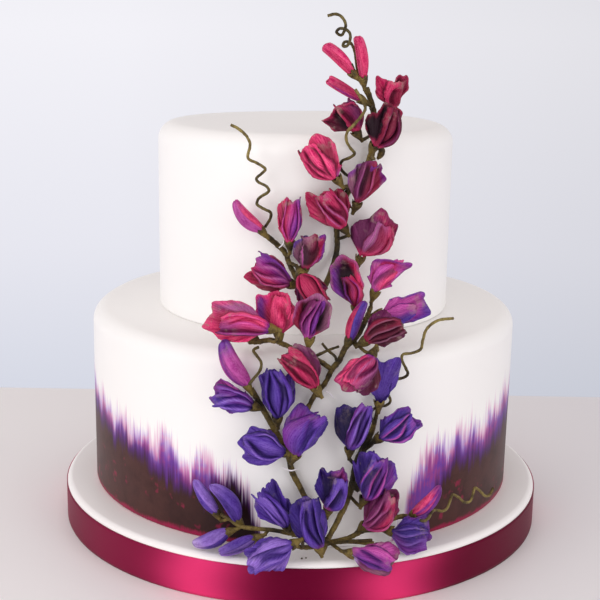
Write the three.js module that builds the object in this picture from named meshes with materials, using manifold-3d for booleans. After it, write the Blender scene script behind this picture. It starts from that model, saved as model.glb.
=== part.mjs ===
// Two-tier iced wedding cake on a ribboned drum board, with a cascading spray of wired sugar sweet peas.
// Millimetres, +Z up. The origin is the centre of the board's underside and the spray faces -Y.
import * as THREE from 'three';
import Module from 'manifold-3d';

const wasm = await Module();
wasm.setup();

// ---------------------------------------------------------------- driving dimensions
const BOARD_R = 152.4; // 12 inch drum
const BOARD_TOP = 25.5;
const RIBBON = { low: 0.3, high: 22.2, thick: 0.5, gap: 0.3 };
const LOWER = { r: 133.4, top: 137.2, shoulder: 9 };
const UPPER = { r: 91.3, top: 251.4, shoulder: 11 };
const JOINT = 0.3; // room between one piece and the next
const SLICES = 48; // facets round each tier

// The spray hangs on this surface: the lower wall, a slope across the ledge, then the upper wall.
const SLOPE = { low: 132, high: 182 };

const PETAL = 1.2; // petal thickness
const CALYX = { neck: 1.5, mouth: 2.6, length: 5 };

// ---------------------------------------------------------------- planting plan
// x right, `out` from the hanging surface and z up, in mm, give the base of each flower.
// head: the way it grows, 0 up and 90 right; lift: towards the viewer; turn: about its own axis; degrees.
// cup: the wrap of the back petal's edges in degrees, forwards if positive; bow: sideways bulge.
//            x    out    z    head lift turn  length width cup  bow
const BLOOMS = {
  bloom_01: [47, 8, 267.5, -3, 20, 10, 17, 17, 65, 0],
  bloom_02: [27.5, 10, 254.5, -34, 10, -10, 20, 19.5, 65, 0],
  bloom_03: [37, 14, 247, 21, 10, 10, 24, 19, -55, 0],
  bloom_04: [17.5, 13.5, 229.5, -35, 5, -15, 25.5, 19, -70, 0.05],
  bloom_05: [27, 14, 216, 19, 10, 15, 25.5, 19.5, -50, -0.05],
  bloom_06: [21.5, 10, 202, -34, 8, -5, 25, 21.5, -50, 0],
  bloom_07: [31.5, 11, 184.5, 16, 0, -10, 27, 24, -45, 0.08],
  bloom_08: [-8, 9, 193, -2, 0, 0, 24.5, 13, -75, 0],
  bloom_09: [0, 8, 178.5, 10, 0, 0, 20, 16.5, 65, 0],
  bloom_10: [-7, 11, 172, -69, 5, 0, 23.5, 19, -65, 0],
  bloom_11: [39.5, 10, 167, 20, -12, 10, 23, 20, 70, 0],
  bloom_12: [29, 12, 161, -11, -14, -10, 30, 17.5, 60, -0.05],
  bloom_13: [-1.5, 15.5, 177.5, 148, 34, 0, 22.5, 17, -50, 0],
  bloom_14: [3.5, 15, 147.5, 6, -8, 0, 23.5, 20, 60, 0],
  bloom_15: [-13, 10, 148.5, -12, -12, -10, 23.5, 21, 70, 0],
  bloom_16: [-17.5, 21, 153, -81, 0, 10, 33.5, 21, -45, 0],
  bloom_17: [42.5, 8, 156.5, 78, 5, 10, 24, 22, 60, 0],
  bloom_18: [33.5, 12.5, 145.5, 56, -5, 0, 22, 19, -50, 0],
  bloom_19: [37, 19, 140.5, -151, 28, 0, 23.5, 21, -45, 0],
  bloom_20: [7.5, 10, 122.5, -34, -5, 0, 25.5, 17, -60, 0.05],
  bloom_21: [-26, 8, 110.5, -70, 5, 0, 24, 16, -60, 0],
  bloom_22: [-13, 8, 104.5, -4, 5, 0, 28, 18, -65, 0.05],
  bloom_23: [-8, 10, 86, -78, 5, 0, 24.5, 20, -60, 0],
  bloom_24: [-2.5, 11, 85, 24, 10, 0, 30, 20, -45, -0.1],
  bloom_25: [26.5, 10, 87.5, 2, 5, 0, 26.5, 18, -55, 0],
  bloom_26: [42, 8, 112.5, 2, 0, 180, 25, 18, 45, 0],
  bloom_27: [42.5, 9, 92.5, 50, 5, 0, 23, 19, -60, 0],
  bloom_28: [15.5, 12, 54, 8, 10, 0, 29.5, 17.5, -50, 0],
  bloom_29: [35, 13, 59.5, 19, 5, 0, 28.5, 22.5, -45, 0.05],
  bloom_30: [35.5, 11, 42.5, 43, 10, 0, 26, 18.5, -55, 0],
  bloom_31: [51, 12, 38, 90, 10, 0, 20.5, 20, -60, 0],
  bloom_32: [28.5, 22, 32, 99, 8, 0, 24.5, 19.5, -60, 0],
  bloom_33: [10.5, 18, 34.5, -18, 5, 0, 30, 19.5, -50, 0],
  bloom_34: [-6.5, 12, 43.5, -30, 5, 0, 27.5, 18, -50, 0],
  bloom_35: [-3.5, 24, 39, -117, 10, 0, 25, 19.5, -55, 0],
};
// Buds: the same columns without the cup.
//          x    out    z    head lift turn  length width bow
const BUDS = {
  bud_01: [24.5, 7, 286, -47, 0, 0, 20.5, 8.5, 0.05],
  bud_02: [30.5, 8, 283, -9, 0, 0, 22, 7.5, 0.04],
  bud_03: [29.5, 10.5, 272, -59, 5, 0, 20.5, 7, 0],
  bud_04: [-24, 8, 199, -42, 0, 0, 21.5, 8, -0.08],
  bud_05: [25, 9, 145.5, 23, -14, 0, 22, 7.5, -0.05],
  bud_06: [-29.5, 9, 122.5, -28, 0, 0, 27, 11.5, -0.08],
  bud_07: [63.5, 12, 46, 38, 5, 0, 22, 8, 0.08],
  bud_08: [-46.5, 9, 46.5, -32, 0, 0, 22, 7.5, -0.03],
  bud_09: [-34, 9, 44, -35, 5, 0, 25.5, 9.5, 0.1],
  bud_10: [-39.5, 13, 38, -111, 0, 0, 20.5, 8, -0.06],
  bud_11: [-24, 16, 37.5, -114, 0, 0, 21, 7.5, -0.03],
};

// ---------------------------------------------------------------- frames on the hanging surface
function surfaceRadius(z) {
  const slope = THREE.MathUtils.clamp((z - SLOPE.low) / (SLOPE.high - SLOPE.low), 0, 1);
  return LOWER.r + (UPPER.r - LOWER.r) * slope;
}

function hang([x, out, z]) {
  const r = surfaceRadius(z) + out;
  return new THREE.Vector3(x, -Math.sqrt(r * r - x * x), z);
}

// A flower's own axes: `along` it grows, `face` looks out at the viewer and `side` lies across.
function flowerFrame([x, out, z, head, lift, turn]) {
  const rad = THREE.MathUtils.degToRad;
  const along = new THREE.Vector3(
    Math.sin(rad(head)) * Math.cos(rad(lift)),
    -Math.sin(rad(lift)),
    Math.cos(rad(head)) * Math.cos(rad(lift)),
  );
  const viewer = new THREE.Vector3(0, -1, 0);
  const face = viewer.addScaledVector(along, -viewer.dot(along)).normalize();
  face.applyAxisAngle(along, rad(turn));
  const side = new THREE.Vector3().crossVectors(along, face);
  return { base: hang([x, out, z]), along, face, side };
}

function toWorld(frame, side, face, along) {
  return frame.base
    .clone()
    .addScaledVector(frame.side, side)
    .addScaledVector(frame.face, face)
    .addScaledVector(frame.along, along);
}

// ---------------------------------------------------------------- closed bodies from points
function bodyFrom(points, triangles) {
  const mesh = new wasm.Mesh({
    numProp: 3,
    vertProperties: new Float32Array(points.flatMap((p) => [p.x, p.y, p.z])),
    triVerts: new Uint32Array(triangles.flat()),
  });
  const body = new wasm.Manifold(mesh);
  if (body.volume() > 0) return body;
  const turned = triangles.map(([a, b, c]) => [a, c, b]);
  return bodyFrom(points, turned);
}

// Skin over rings of matching points, closed by the triangles in `cap` at each end.
function loft(rings, cap) {
  const n = rings[0].length;
  const last = (rings.length - 1) * n;
  const triangles = [];
  for (let i = 0; i + 1 < rings.length; i += 1) {
    for (let j = 0; j < n; j += 1) {
      const a = i * n + j;
      const b = i * n + ((j + 1) % n);
      triangles.push([a, b, b + n], [a, b + n, a + n]);
    }
  }
  for (const [a, b, c] of cap) triangles.push([a, c, b], [last + a, last + b, last + c]);
  return bodyFrom(rings.flat(), triangles);
}

// The end of a loft whose section is this flat outline.
function capOf(outline) {
  const flat = outline.map(([x, y]) => new THREE.Vector2(x, y));
  return THREE.ShapeUtils.triangulateShape(flat, []);
}

// ---------------------------------------------------------------- flowers
// The line down the middle of a flower: how far it stands to the side and to the front at height t.
function midline(t, length, bow, arch) {
  const swell = Math.sin(Math.PI * Math.min(1, t) ** 0.8);
  return { side: bow * length * 4 * t * (1 - t), face: arch * length * swell };
}

// Round a bloom: the smooth back, one edge of the back petal, the two folded wings with the groove between
// them, and the other edge. The first number is the place across, the second the rise.
const BLOOM_SECTION = [
  [-0.85, -1], [-0.3, -1], [0.3, -1], [0.85, -1],
  [1, 0], [0.62, 0], [0.42, 0.75], [0.2, 1], [0, 0.5], [-0.2, 1], [-0.42, 0.75], [-0.62, 0], [-1, 0],
];
const BLOOM_CAP = capOf(BLOOM_SECTION);
const BLOOM_RINGS = [0.04, 0.2, 0.42, 0.64, 0.84, 1]; // height of each section
const SPREAD = [0.14, 0.5, 0.8, 0.98, 1, 0.6]; // how far the back petal has opened there
const RISE = [0.4, 0.75, 1, 1, 0.8, 0.3]; // how tall the wings are there

function bloom(row) {
  const [length, width, cup, bow] = row.slice(6);
  const frame = flowerFrame(row);
  const wrap = THREE.MathUtils.degToRad(Math.abs(cup));
  const bend = Math.sign(cup);
  const radius = width / 2 / Math.sin(wrap);
  const high = width * (cup < 0 ? 0.2 : 0.16);
  const rings = BLOOM_RINGS.map((t, i) => {
    const mid = midline(t, length, bow, cup < 0 ? 0.14 : 0);
    return BLOOM_SECTION.map(([across, rise]) => {
      const angle = wrap * SPREAD[i] * across;
      const lift = rise < 0 ? -PETAL : rise * RISE[i] * high;
      const side = mid.side + radius * Math.sin(angle) - bend * lift * Math.sin(angle);
      const face = mid.face + bend * radius * (1 - Math.cos(angle)) + lift * Math.cos(angle);
      return toWorld(frame, side, face, t * length);
    });
  });
  return loft(rings, BLOOM_CAP);
}

// Round a bud: an oval with a fold down its front.
const BUD_SECTION = Array.from({ length: 7 }, (_, k) => {
  const angle = (2 * Math.PI * k) / 7 + Math.PI / 2;
  const fold = k === 0 ? 0.6 : 1;
  return [Math.cos(angle) * fold, 0.75 * Math.sin(angle) * fold];
});
const BUD_CAP = capOf(BUD_SECTION);

function bud(row) {
  const [length, width, bow] = row.slice(6);
  const frame = flowerFrame(row);
  const rings = [0.04, 0.28, 0.55, 0.8, 1].map((t, i) => {
    const half = (width / 2) * [0.4, 0.85, 1, 0.95, 0.5][i];
    const mid = midline(t, length, bow, 0.05);
    return BUD_SECTION.map(([a, b]) => toWorld(frame, mid.side + a * half, mid.face + b * half, t * length));
  });
  return loft(rings, BUD_CAP);
}

// ---------------------------------------------------------------- taped wires
// A round wire through points on the hanging surface, its radius running from one end value to the other.
function wire(points, radii, sides = 5, perSpan = 1) {
  const path = new THREE.CatmullRomCurve3(points, false, 'centripetal');
  const steps = perSpan * (points.length - 1);
  const { normals, binormals } = path.computeFrenetFrames(steps, false);
  const rings = normals.map((normal, i) => {
    const t = i / steps;
    const centre = path.getPoint(t);
    const along = t * (radii.length - 1);
    const k = Math.min(Math.floor(along), radii.length - 2);
    const radius = THREE.MathUtils.lerp(radii[k], radii[k + 1], along - k);
    const ring = [];
    for (let j = 0; j < sides; j += 1) {
      const angle = (2 * Math.PI * j) / sides;
      const p = centre.clone().addScaledVector(normal, radius * Math.cos(angle));
      ring.push(p.addScaledVector(binormals[i], radius * Math.sin(angle)));
    }
    return ring;
  });
  const cap = Array.from({ length: sides - 2 }, (_, j) => [0, j + 1, j + 2]);
  return loft(rings, cap);
}

// The stalk and calyx that carry one flower, from a point inside a wire to the flower's base.
function stalk(flower, ...from) {
  const frame = flowerFrame(BLOOMS[flower] ?? BUDS[flower]);
  const neck = toWorld(frame, 0, 0, -CALYX.length);
  return wire([...from.map(hang), neck, frame.base], [1.1, CALYX.neck, CALYX.mouth]);
}

const run = (points, ...radii) => wire(points.map(hang), radii);
const join = (bodies) => bodies.reduce((whole, body) => whole.add(body));

// ---------------------------------------------------------------- tiers, board and ribbon
// An arc of a rounded edge in the lathe's profile, from angle a to angle b in degrees.
function corner(r, z, radius, from, to) {
  const steps = 3;
  return Array.from({ length: steps + 1 }, (_, i) => {
    const angle = THREE.MathUtils.degToRad(from + ((to - from) * i) / steps);
    return new THREE.Vector2(r + radius * Math.cos(angle), z + radius * Math.sin(angle));
  });
}

function turned(profile) {
  const geometry = new THREE.LatheGeometry(profile, SLICES);
  geometry.rotateX(Math.PI / 2);
  return geometry;
}

function tier({ r, top, shoulder }, foot) {
  return turned([
    new THREE.Vector2(0, foot),
    new THREE.Vector2(r - 1, foot),
    new THREE.Vector2(r, foot + 1),
    ...corner(r - shoulder, top - shoulder, shoulder, 0, 90),
    new THREE.Vector2(0, top),
  ]);
}

function ribbonBand() {
  const inner = BOARD_R + RIBBON.gap;
  const outer = inner + RIBBON.thick;
  return turned([
    new THREE.Vector2(inner, RIBBON.low),
    new THREE.Vector2(outer, RIBBON.low),
    new THREE.Vector2(outer, RIBBON.high),
    new THREE.Vector2(inner, RIBBON.high),
    new THREE.Vector2(inner, RIBBON.low),
  ]);
}

// ---------------------------------------------------------------- the group
const group = new THREE.Group();
group.name = 'wedding_cake';

function place(name, geometry, color, roughness = 0.6) {
  const material = new THREE.MeshStandardMaterial({ color, roughness, metalness: 0 });
  const mesh = new THREE.Mesh(geometry, material);
  mesh.name = name;
  group.add(mesh);
}

function fromBody(body) {
  const mesh = body.getMesh();
  const geometry = new THREE.BufferGeometry();
  geometry.setAttribute('position', new THREE.BufferAttribute(new Float32Array(mesh.vertProperties), mesh.numProp));
  geometry.setIndex(new THREE.BufferAttribute(new Uint32Array(mesh.triVerts), 1));
  geometry.computeVertexNormals();
  return geometry;
}

place('cake_board', tier({ r: BOARD_R, top: BOARD_TOP, shoulder: 4 }, 0), 0xf1ebe8);
place('board_ribbon', ribbonBand(), 0x8c1240, 0.35);
place('lower_tier', tier(LOWER, BOARD_TOP + JOINT), 0xf8f5f2);
place('upper_tier', tier(UPPER, LOWER.top + JOINT), 0xf8f5f2);

// Magenta at the top of the cascade, violet at the foot.
function petalColour([, , z]) {
  const t = THREE.MathUtils.clamp((z - 60) / 90, 0, 1);
  return new THREE.Color(0x5a3a9c).lerp(new THREE.Color(0xb0225f), t);
}

for (const [name, row] of Object.entries(BLOOMS)) place(name, fromBody(bloom(row)), petalColour(row));
for (const [name, row] of Object.entries(BUDS)) place(name, fromBody(bud(row)), petalColour(row));

const TAPE = 0x5a4a25;

const upperWires = join([
  run([
    [32.5, 6.8, 278], [36, 5.5, 268.5], [38, 5, 257.5], [37, 5, 244], [33.5, 4.5, 234], [25.5, 3.8, 223],
    [19, 3.2, 212], [18, 3, 200.5], [18.5, 3, 188.5], [15, 4, 176.5], [7, 5.5, 160], [5.5, 6, 151.5],
  ], 1.7, 2.2, 2.2, 1.8, 1.8, 1.8),
  run([
    [-23.5, 7.5, 198], [-15.5, 4, 191], [-10.5, 3.5, 186], [-8.5, 3.5, 181], [-5, 4, 175], [-1.5, 5, 169],
    [5.5, 6, 153],
  ], 1.8, 1.7, 1.6),
  stalk('bud_01', [32.5, 7, 277]),
  stalk('bud_02', [34.3, 6.3, 272]),
  stalk('bud_03', [36, 5.5, 267]),
  stalk('bud_04', [-20.5, 5.5, 194.5]),
  stalk('bloom_01', [38, 5, 261]),
  stalk('bloom_02', [38, 5, 253.5]),
  stalk('bloom_03', [38, 5, 239]),
  stalk('bloom_04', [22, 3.5, 218], [23.5, 8.5, 224.5]),
  stalk('bloom_05', [20.5, 3.5, 215.5], [26.5, 7.5, 212.5]),
  stalk('bloom_06', [18.5, 3, 194]),
  stalk('bloom_07', [18.5, 3, 184.5], [24, 5, 183]),
  stalk('bloom_08', [-9.5, 3.5, 183.5]),
  stalk('bloom_09', [-2, 5, 170]),
  stalk('bloom_10', [-3, 4.5, 172]),
  stalk('bloom_13', [-7.5, 3.5, 180], [-8, 10, 182]),
]);
place('wires_upper', fromBody(upperWires), TAPE);

const middleWires = join([
  run([
    [37.5, 5, 159.5], [34.5, 5, 153.5], [30, 5, 146.5], [23.5, 5, 141.5], [20, 4.5, 135.5], [16, 4, 131],
    [12, 3.5, 122.5], [8, 3.5, 118], [5, 3, 112.5], [2.5, 3, 107],
  ], 1.5, 1.9, 1.6, 1.6),
  run([
    [16, 4, 131], [10, 5, 135], [4, 5.5, 137.5], [-2.5, 6, 140], [-9, 6, 142.5], [-17, 6, 144.5], [-24, 6, 143.5],
    [-29.5, 7, 143.5],
  ], 1.6, 1.5, 1.8),
  stalk('bloom_11', [37.5, 5, 158]),
  stalk('bloom_12', [35, 5, 154]),
  stalk('bloom_14', [3, 5.5, 137.5]),
  stalk('bloom_15', [-8.5, 6, 142]),
  stalk('bloom_16', [-19, 6, 144.5], [-14, 16, 146.5]),
  stalk('bud_05', [22, 5, 139.5]),
  stalk('bloom_17', [34, 5, 153]),
  stalk('bloom_18', [27, 5, 144]),
  stalk('bloom_19', [28, 5, 144], [35, 7, 139], [40, 11.5, 140.5]),
  stalk('bloom_20', [8, 3.5, 116.5]),
]);
place('wires_middle', fromBody(middleWires), TAPE);

const lowerWires = join([
  run([
    [-27.5, 4, 119], [-21, 3, 107.5], [-14.5, 3, 96], [-7.5, 3, 83.5], [-4.5, 3, 72], [-0.5, 3, 64],
    [3.5, 4, 56], [7, 6, 48], [11.5, 8, 39.5], [14.5, 10, 33],
  ], 1.8, 1.9, 1.9, 1.5, 1.5),
  run([
    [41.5, 5, 109.5], [41, 4, 104], [39.5, 3, 97], [36.5, 3, 88.5], [31, 3, 77], [29, 3, 66], [26, 4, 55],
    [21.5, 6, 45.5], [14.5, 10, 33],
  ], 1.2, 1.3, 2.4, 2.2, 1.9, 1.7),
  run([[-44, 10, 46.5], [-39, 10, 44.5], [-33, 11, 41.5], [-12, 11, 40.5], [-2, 11, 38.5], [14.5, 10, 33]], 1.1, 1.4, 1.5),
  run([[-3, 19, 36], [1.5, 16, 33.5], [9, 13, 32.5], [17, 11, 33.5], [26.5, 12, 34.5], [41, 14, 33]], 1.4, 1.5, 1.5),
  run([[15, 10, 33.5], [26.5, 10, 35.5], [34.5, 9, 38.5], [44, 9, 42], [56, 10, 45], [60, 11, 45]], 1.5, 1.6, 1.5),
  stalk('bud_06', [-26, 4, 116.5]),
  stalk('bloom_21', [-20.5, 3, 106.5]),
  stalk('bloom_22', [-14, 3, 95]),
  stalk('bloom_23', [-6, 3, 78]),
  stalk('bloom_24', [-5.5, 3, 76]),
  stalk('bloom_25', [30.5, 3, 75]),
  stalk('bloom_26', [41, 4, 104]),
  stalk('bloom_27', [34, 3.5, 84]),
  stalk('bloom_28', [7, 6, 48]),
  stalk('bloom_29', [27, 3.5, 58]),
  stalk('bloom_30', [30, 10, 37]),
  stalk('bud_07', [57, 10, 44.5]),
  stalk('bloom_31', [35, 9, 38.5]),
  stalk('bloom_32', [17, 11, 33.5]),
  stalk('bloom_33', [15, 11, 32.5]),
  stalk('bloom_34', [-8, 11, 40]),
  stalk('bud_08', [-39, 10, 44.5]),
  stalk('bud_09', [-31, 11, 41]),
  stalk('bud_10', [-32, 11, 41]),
  stalk('bud_11', [-17.5, 11, 40]),
  stalk('bloom_35', [2, 16, 33.5]),
]);
place('wires_lower', fromBody(lowerWires), TAPE);

// Tendrils: thin wires curled out of the spray, paler and thinner towards the tip.
const TENDRILS = {
  tendril_1: [
    [10.5, 8, 316], [14.5, 9, 317], [17.5, 10, 316], [20, 10, 312.5], [20, 9, 309.5], [18, 7, 306], [15.5, 7, 307.5],
    [17, 9, 309.5], [20.5, 12, 309], [22.5, 12, 307], [22.5, 12, 303], [21, 11, 300.5], [19, 9, 300.5], [20, 7.5, 302.5],
    [23, 6, 302], [25.5, 3, 298], [27, 2.5, 290], [28, 3, 284],
  ],
  tendril_2: [
    [-22, 4.5, 200.5], [-19, 6, 206], [-19, 8, 209.5], [-22.5, 10, 211.5], [-26.5, 9, 214], [-25.5, 8, 217],
    [-20, 9, 221.5], [-21, 10, 224], [-26, 10, 226.5], [-27, 9, 228], [-23.5, 9, 231.5], [-22, 11, 234],
    [-26.5, 12, 237], [-31.5, 12, 239.5], [-30.5, 11, 247], [-32.5, 12, 251.5], [-37, 14, 255.5], [-41, 16, 257.5],
  ],
  tendril_3: [
    [26, 15, 278], [29, 16, 273.5], [31.5, 18, 269], [30.5, 23, 266], [26, 28, 261], [22, 27, 256.5], [21.5, 24, 252],
    [24, 20, 247], [26.5, 16, 243.5], [24, 13, 241], [20, 11, 239], [19, 9, 235.5], [22, 9, 231.5],
    [25.5, 10, 229.5], [24.5, 11, 227.5],
  ],
  tendril_4: [
    [84, 18, 152.5], [75, 15, 152], [68.5, 13, 148.5], [66, 12, 143.5], [64.5, 12, 139.5], [59.5, 11, 138],
    [54.5, 10, 137.5], [54, 9, 135], [56, 8, 131], [57.5, 7, 126.5], [55, 6, 124.5], [50, 4.5, 123.5],
    [47, 3.5, 122], [45, 2, 118],
  ],
  tendril_5: [
    [-24, 4, 140.5], [-26.5, 6, 139.5], [-24.5, 8, 137.5], [-22, 10, 135], [-22.5, 12, 132], [-25.5, 17, 129],
    [-28, 19, 126],
  ],
  tendril_6: [
    [66, 21.5, 46.5], [68.5, 23, 46.3], [71, 21.5, 46.8], [73.2, 17, 47], [75, 13.5, 46.5], [77, 12, 45.5], [80.5, 13, 44.5],
    [83.5, 12, 45], [85.5, 11, 49], [87, 10, 51], [90.5, 11, 49], [94, 12, 45.5], [98, 12, 44.5], [100, 11, 47.5],
    [101, 11, 51], [103.5, 12, 49.5], [108, 13, 44.5], [111.5, 13, 44], [113.5, 13, 47],
  ],
};
for (const [name, points] of Object.entries(TENDRILS)) {
  place(name, fromBody(wire(points.map(hang), [0.8, 0.8], 5, 2)), 0x7d7240);
}

export default group;
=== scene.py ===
# %% [markdown]
# # A two-tier wedding cake with a spray of sugar sweet peas
#
# The object is an iced cake on a ribboned board. A bunch of wired sugar flowers hangs down its front,
# magenta at the top and violet at the foot, and food colour is brushed up the lower tier from the board.
# The solid model of it is already packed, so this lesson loads it as a fixed frame, works in metres, and
# makes a finer surface for each of its solids. Z is up and the flowers face -Y.

# %% Load the frame
from functools import partial

import bpy
import numpy as np
from mathutils import Matrix


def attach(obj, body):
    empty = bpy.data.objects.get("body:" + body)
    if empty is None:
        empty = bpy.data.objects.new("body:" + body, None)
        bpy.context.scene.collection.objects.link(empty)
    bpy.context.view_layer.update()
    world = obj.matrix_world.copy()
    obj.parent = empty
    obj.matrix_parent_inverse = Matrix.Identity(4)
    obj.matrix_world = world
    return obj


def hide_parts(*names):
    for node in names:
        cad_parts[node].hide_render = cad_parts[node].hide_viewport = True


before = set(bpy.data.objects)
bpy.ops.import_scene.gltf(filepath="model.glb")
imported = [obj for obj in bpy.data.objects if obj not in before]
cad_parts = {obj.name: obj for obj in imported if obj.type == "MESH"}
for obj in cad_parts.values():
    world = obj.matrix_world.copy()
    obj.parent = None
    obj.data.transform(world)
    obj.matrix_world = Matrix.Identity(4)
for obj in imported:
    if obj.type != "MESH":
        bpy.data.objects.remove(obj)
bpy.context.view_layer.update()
MM = 0.001
# Sizes in mm: radii of the walls and the board, and heights above the table.
LOWER_RADIUS, UPPER_RADIUS, BOARD_RADIUS = 133.4, 91.3, 152.4
BOARD_TOP, LEDGE_TOP, CAKE_TOP = 25.5, 137.2, 251.4

# %% [markdown]
# ## Camera
#
# The cake is seen from just above the level of its top. A camera can be aimed with a constraint, or its
# matrix can be written from three unit vectors. The matrix was chosen, because a small roll is then one
# more angle.

# %% Camera
CAMERA_PLACE = np.array([0.0, -769.0, 320.5]) * MM
PITCH, YAW, ROLL = np.radians([13.45, -0.16, 0.89])
LENS, SENSOR = 73.56, 36.0


def placed_axes(axes, place):
    """The 4 x 4 matrix of an object whose own x, y and z point along the three unit vectors, at the place."""
    return Matrix([[*row, p] for row, p in zip(np.stack(axes, 1), place)] + [[0, 0, 0, 1]])


forward = np.array([np.sin(YAW) * np.cos(PITCH), np.cos(YAW) * np.cos(PITCH), -np.sin(PITCH)])
level = np.array([np.cos(YAW), -np.sin(YAW), 0.0])
upright = np.cross(level, forward)
axis_x = np.cos(ROLL) * level + np.sin(ROLL) * upright
axis_y = np.cos(ROLL) * upright - np.sin(ROLL) * level
camera_data = bpy.data.cameras.new("camera")
camera_data.lens, camera_data.sensor_width = LENS, SENSOR
camera = bpy.data.objects.new("camera", camera_data)
bpy.context.scene.collection.objects.link(camera)
camera.matrix_world = placed_axes([axis_x, axis_y, -forward], CAMERA_PLACE)
bpy.context.scene.camera = camera
bpy.context.scene.view_settings.view_transform = "Standard"
print("camera at", CAMERA_PLACE.round(3), "m, lens", LENS, "mm")

# %% [markdown]
# ## Making a mesh from arrays
#
# Every new piece is a surface worked out with numpy: a grid of points, and quads between neighbours. These
# helpers turn such grids into a Blender mesh. Colours and heights that follow the surface travel as
# attributes.

# %% Grids, shells and pieces
def ink(red, green, blue):
    """A colour picked on screen (0 to 255) as linear light, which is what shaders read."""
    c = np.array([red, green, blue]) / 255
    return np.where(c <= 0.04045, c / 12.92, ((c + 0.055) / 1.055) ** 2.4)


def grid_quads(rows, cols, closed=False):
    """Quads of a rows x cols grid of points, row after row; closed joins the last column to the first."""
    i = np.arange(rows - 1)[:, None]
    j = np.arange(cols if closed else cols - 1)[None, :]
    k = (j + 1) % cols
    quads = np.stack([i * cols + j, i * cols + k, (i + 1) * cols + k, (i + 1) * cols + j], -1)
    return quads.reshape(-1, 4)


def facing_out(points, quads):
    """The same quads, turned over if the volume they enclose (a sum of tetrahedra) is negative."""
    a, b, c, d = (points[quads[:, i]] - points.mean(0) for i in range(4))
    volume = (np.cross(a, b) * c).sum() + (np.cross(a, c) * d).sum()
    return quads if volume > 0 else quads[:, ::-1]


def smooth_step(x, low, high):
    """0 below low, 1 above high and an S-shaped rise between them."""
    t = np.clip((x - low) / (high - low), 0, 1)
    return t * t * (3 - 2 * t)


def blend(a, b, t):
    """Colour a where t is 0 and colour b where t is 1."""
    t = np.asarray(t)[..., None]
    return a * (1 - t) + b * t


def waves(x, y, seed, count=5, low=1.0, high=4.0):
    """Smooth noise between about -1 and 1: a mean of sine waves with random directions and phases."""
    rng = np.random.default_rng(seed)
    turn, size = rng.uniform(0, 2 * np.pi, count), rng.uniform(low, high, count)
    phase = rng.uniform(0, 6.3, count)
    x, y = np.broadcast_arrays(x, y)
    across = x[..., None] * size * np.cos(turn) + y[..., None] * size * np.sin(turn)
    return np.sin(across + phase).mean(-1) * 1.6


def shell(sheet, thickness):
    """Closed skin round a sheet: its points moved half the thickness along the normal both ways, plus a
    rim."""
    across, along = np.gradient(sheet, axis=0), np.gradient(sheet, axis=1)
    normal = np.cross(across, along)
    normal /= np.linalg.norm(normal, axis=-1, keepdims=True) + 1e-12
    rows, cols = sheet.shape[:2]
    points = np.concatenate([(sheet + normal * thickness / 2).reshape(-1, 3),
                             (sheet - normal * thickness / 2).reshape(-1, 3)])
    flat = grid_quads(rows, cols)
    index = np.arange(rows * cols).reshape(rows, cols)
    edge = np.concatenate([index[0, :-1], index[:-1, -1], index[-1, :0:-1], index[::-1, 0][:-1]])
    following = np.roll(edge, -1)
    rim = np.stack([edge, following, following + rows * cols, edge + rows * cols], 1)
    quads = np.concatenate([flat, flat[:, ::-1] + rows * cols, rim[:, ::-1]])
    return points, facing_out(points, quads)


def gather(parts):
    """Several (points, quads, caps, colours, uv) parts as one."""
    starts = np.cumsum([0] + [len(p[0]) for p in parts[:-1]])
    points = np.concatenate([p[0] for p in parts])
    quads = np.concatenate([p[1] + s for p, s in zip(parts, starts)])
    caps = [[int(i + s) for i in cap] for p, s in zip(parts, starts) for cap in p[2]]
    colours = np.concatenate([np.broadcast_to(p[3], (len(p[0]), 3)) for p in parts])
    uv = np.concatenate([p[4] for p in parts])
    return points, quads, caps, colours, uv


def add_value(mesh, key, value):
    """One number a point, kept on the mesh as an attribute that a material can read."""
    data = mesh.attributes.new(key, "FLOAT", "POINT").data
    data.foreach_set("value", np.ascontiguousarray(value, np.float32))


def piece(name, points, quads, caps=(), colours=None, uv=None, material=None,
          stands_for=(), slot=None, **values):
    """A mesh object at the origin, riding on the root body, with its attributes and material; `slot` is not
    used.
    """
    mesh = bpy.data.meshes.new(name)
    mesh.from_pydata(points.tolist(), [], quads.tolist() + [list(cap) for cap in caps])
    mesh.polygons.foreach_set("use_smooth", np.ones(len(mesh.polygons), bool))
    if colours is not None:
        tint = mesh.attributes.new("tint", "FLOAT_COLOR", "POINT")
        tint.data.foreach_set("color", np.column_stack([colours, np.ones(len(points))]).ravel())
    if uv is not None:
        corners = np.empty(len(mesh.loops), np.int32)
        mesh.loops.foreach_get("vertex_index", corners)
        by_corner = uv if len(uv) == len(corners) else uv[corners]
        mesh.uv_layers.new(name="UVMap").data.foreach_set("uv", by_corner.ravel())
    for key, value in values.items():
        add_value(mesh, key, value)
    mesh.update()
    made = bpy.data.objects.new(name, mesh)
    bpy.context.scene.collection.objects.link(made)
    if material is not None:
        mesh.materials.append(material)
    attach(made, "root")
    if stands_for:
        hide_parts(*stands_for)
    return made


# %% [markdown]
# ## Node helpers
#
# A material is a tree of nodes, and each node takes several lines to add by hand. These helpers keep the
# trees short: one starts a material with numbers on its Principled BSDF, one adds any node, and the rest
# stand for the few nodes that come again and again. Node groups would do the same in Blender's own window.

# %% Materials in a few lines
def new_material(name, **sockets):
    """A material with one Principled BSDF, its sockets set by name (underscores for spaces)."""
    material = bpy.data.materials.new(name)
    material.use_nodes = True
    shader = material.node_tree.nodes["Principled BSDF"]
    for key, value in sockets.items():
        shader.inputs[key.replace("_", " ")].default_value = value
    return material, shader


def plug(material, socket, value):
    """Links the socket to the value if that is another node's output, and else sets it."""
    if isinstance(value, bpy.types.NodeSocket):
        material.node_tree.links.new(socket, value)
    else:
        socket.default_value = value if np.isscalar(value) else (*value, 1.0)


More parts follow.
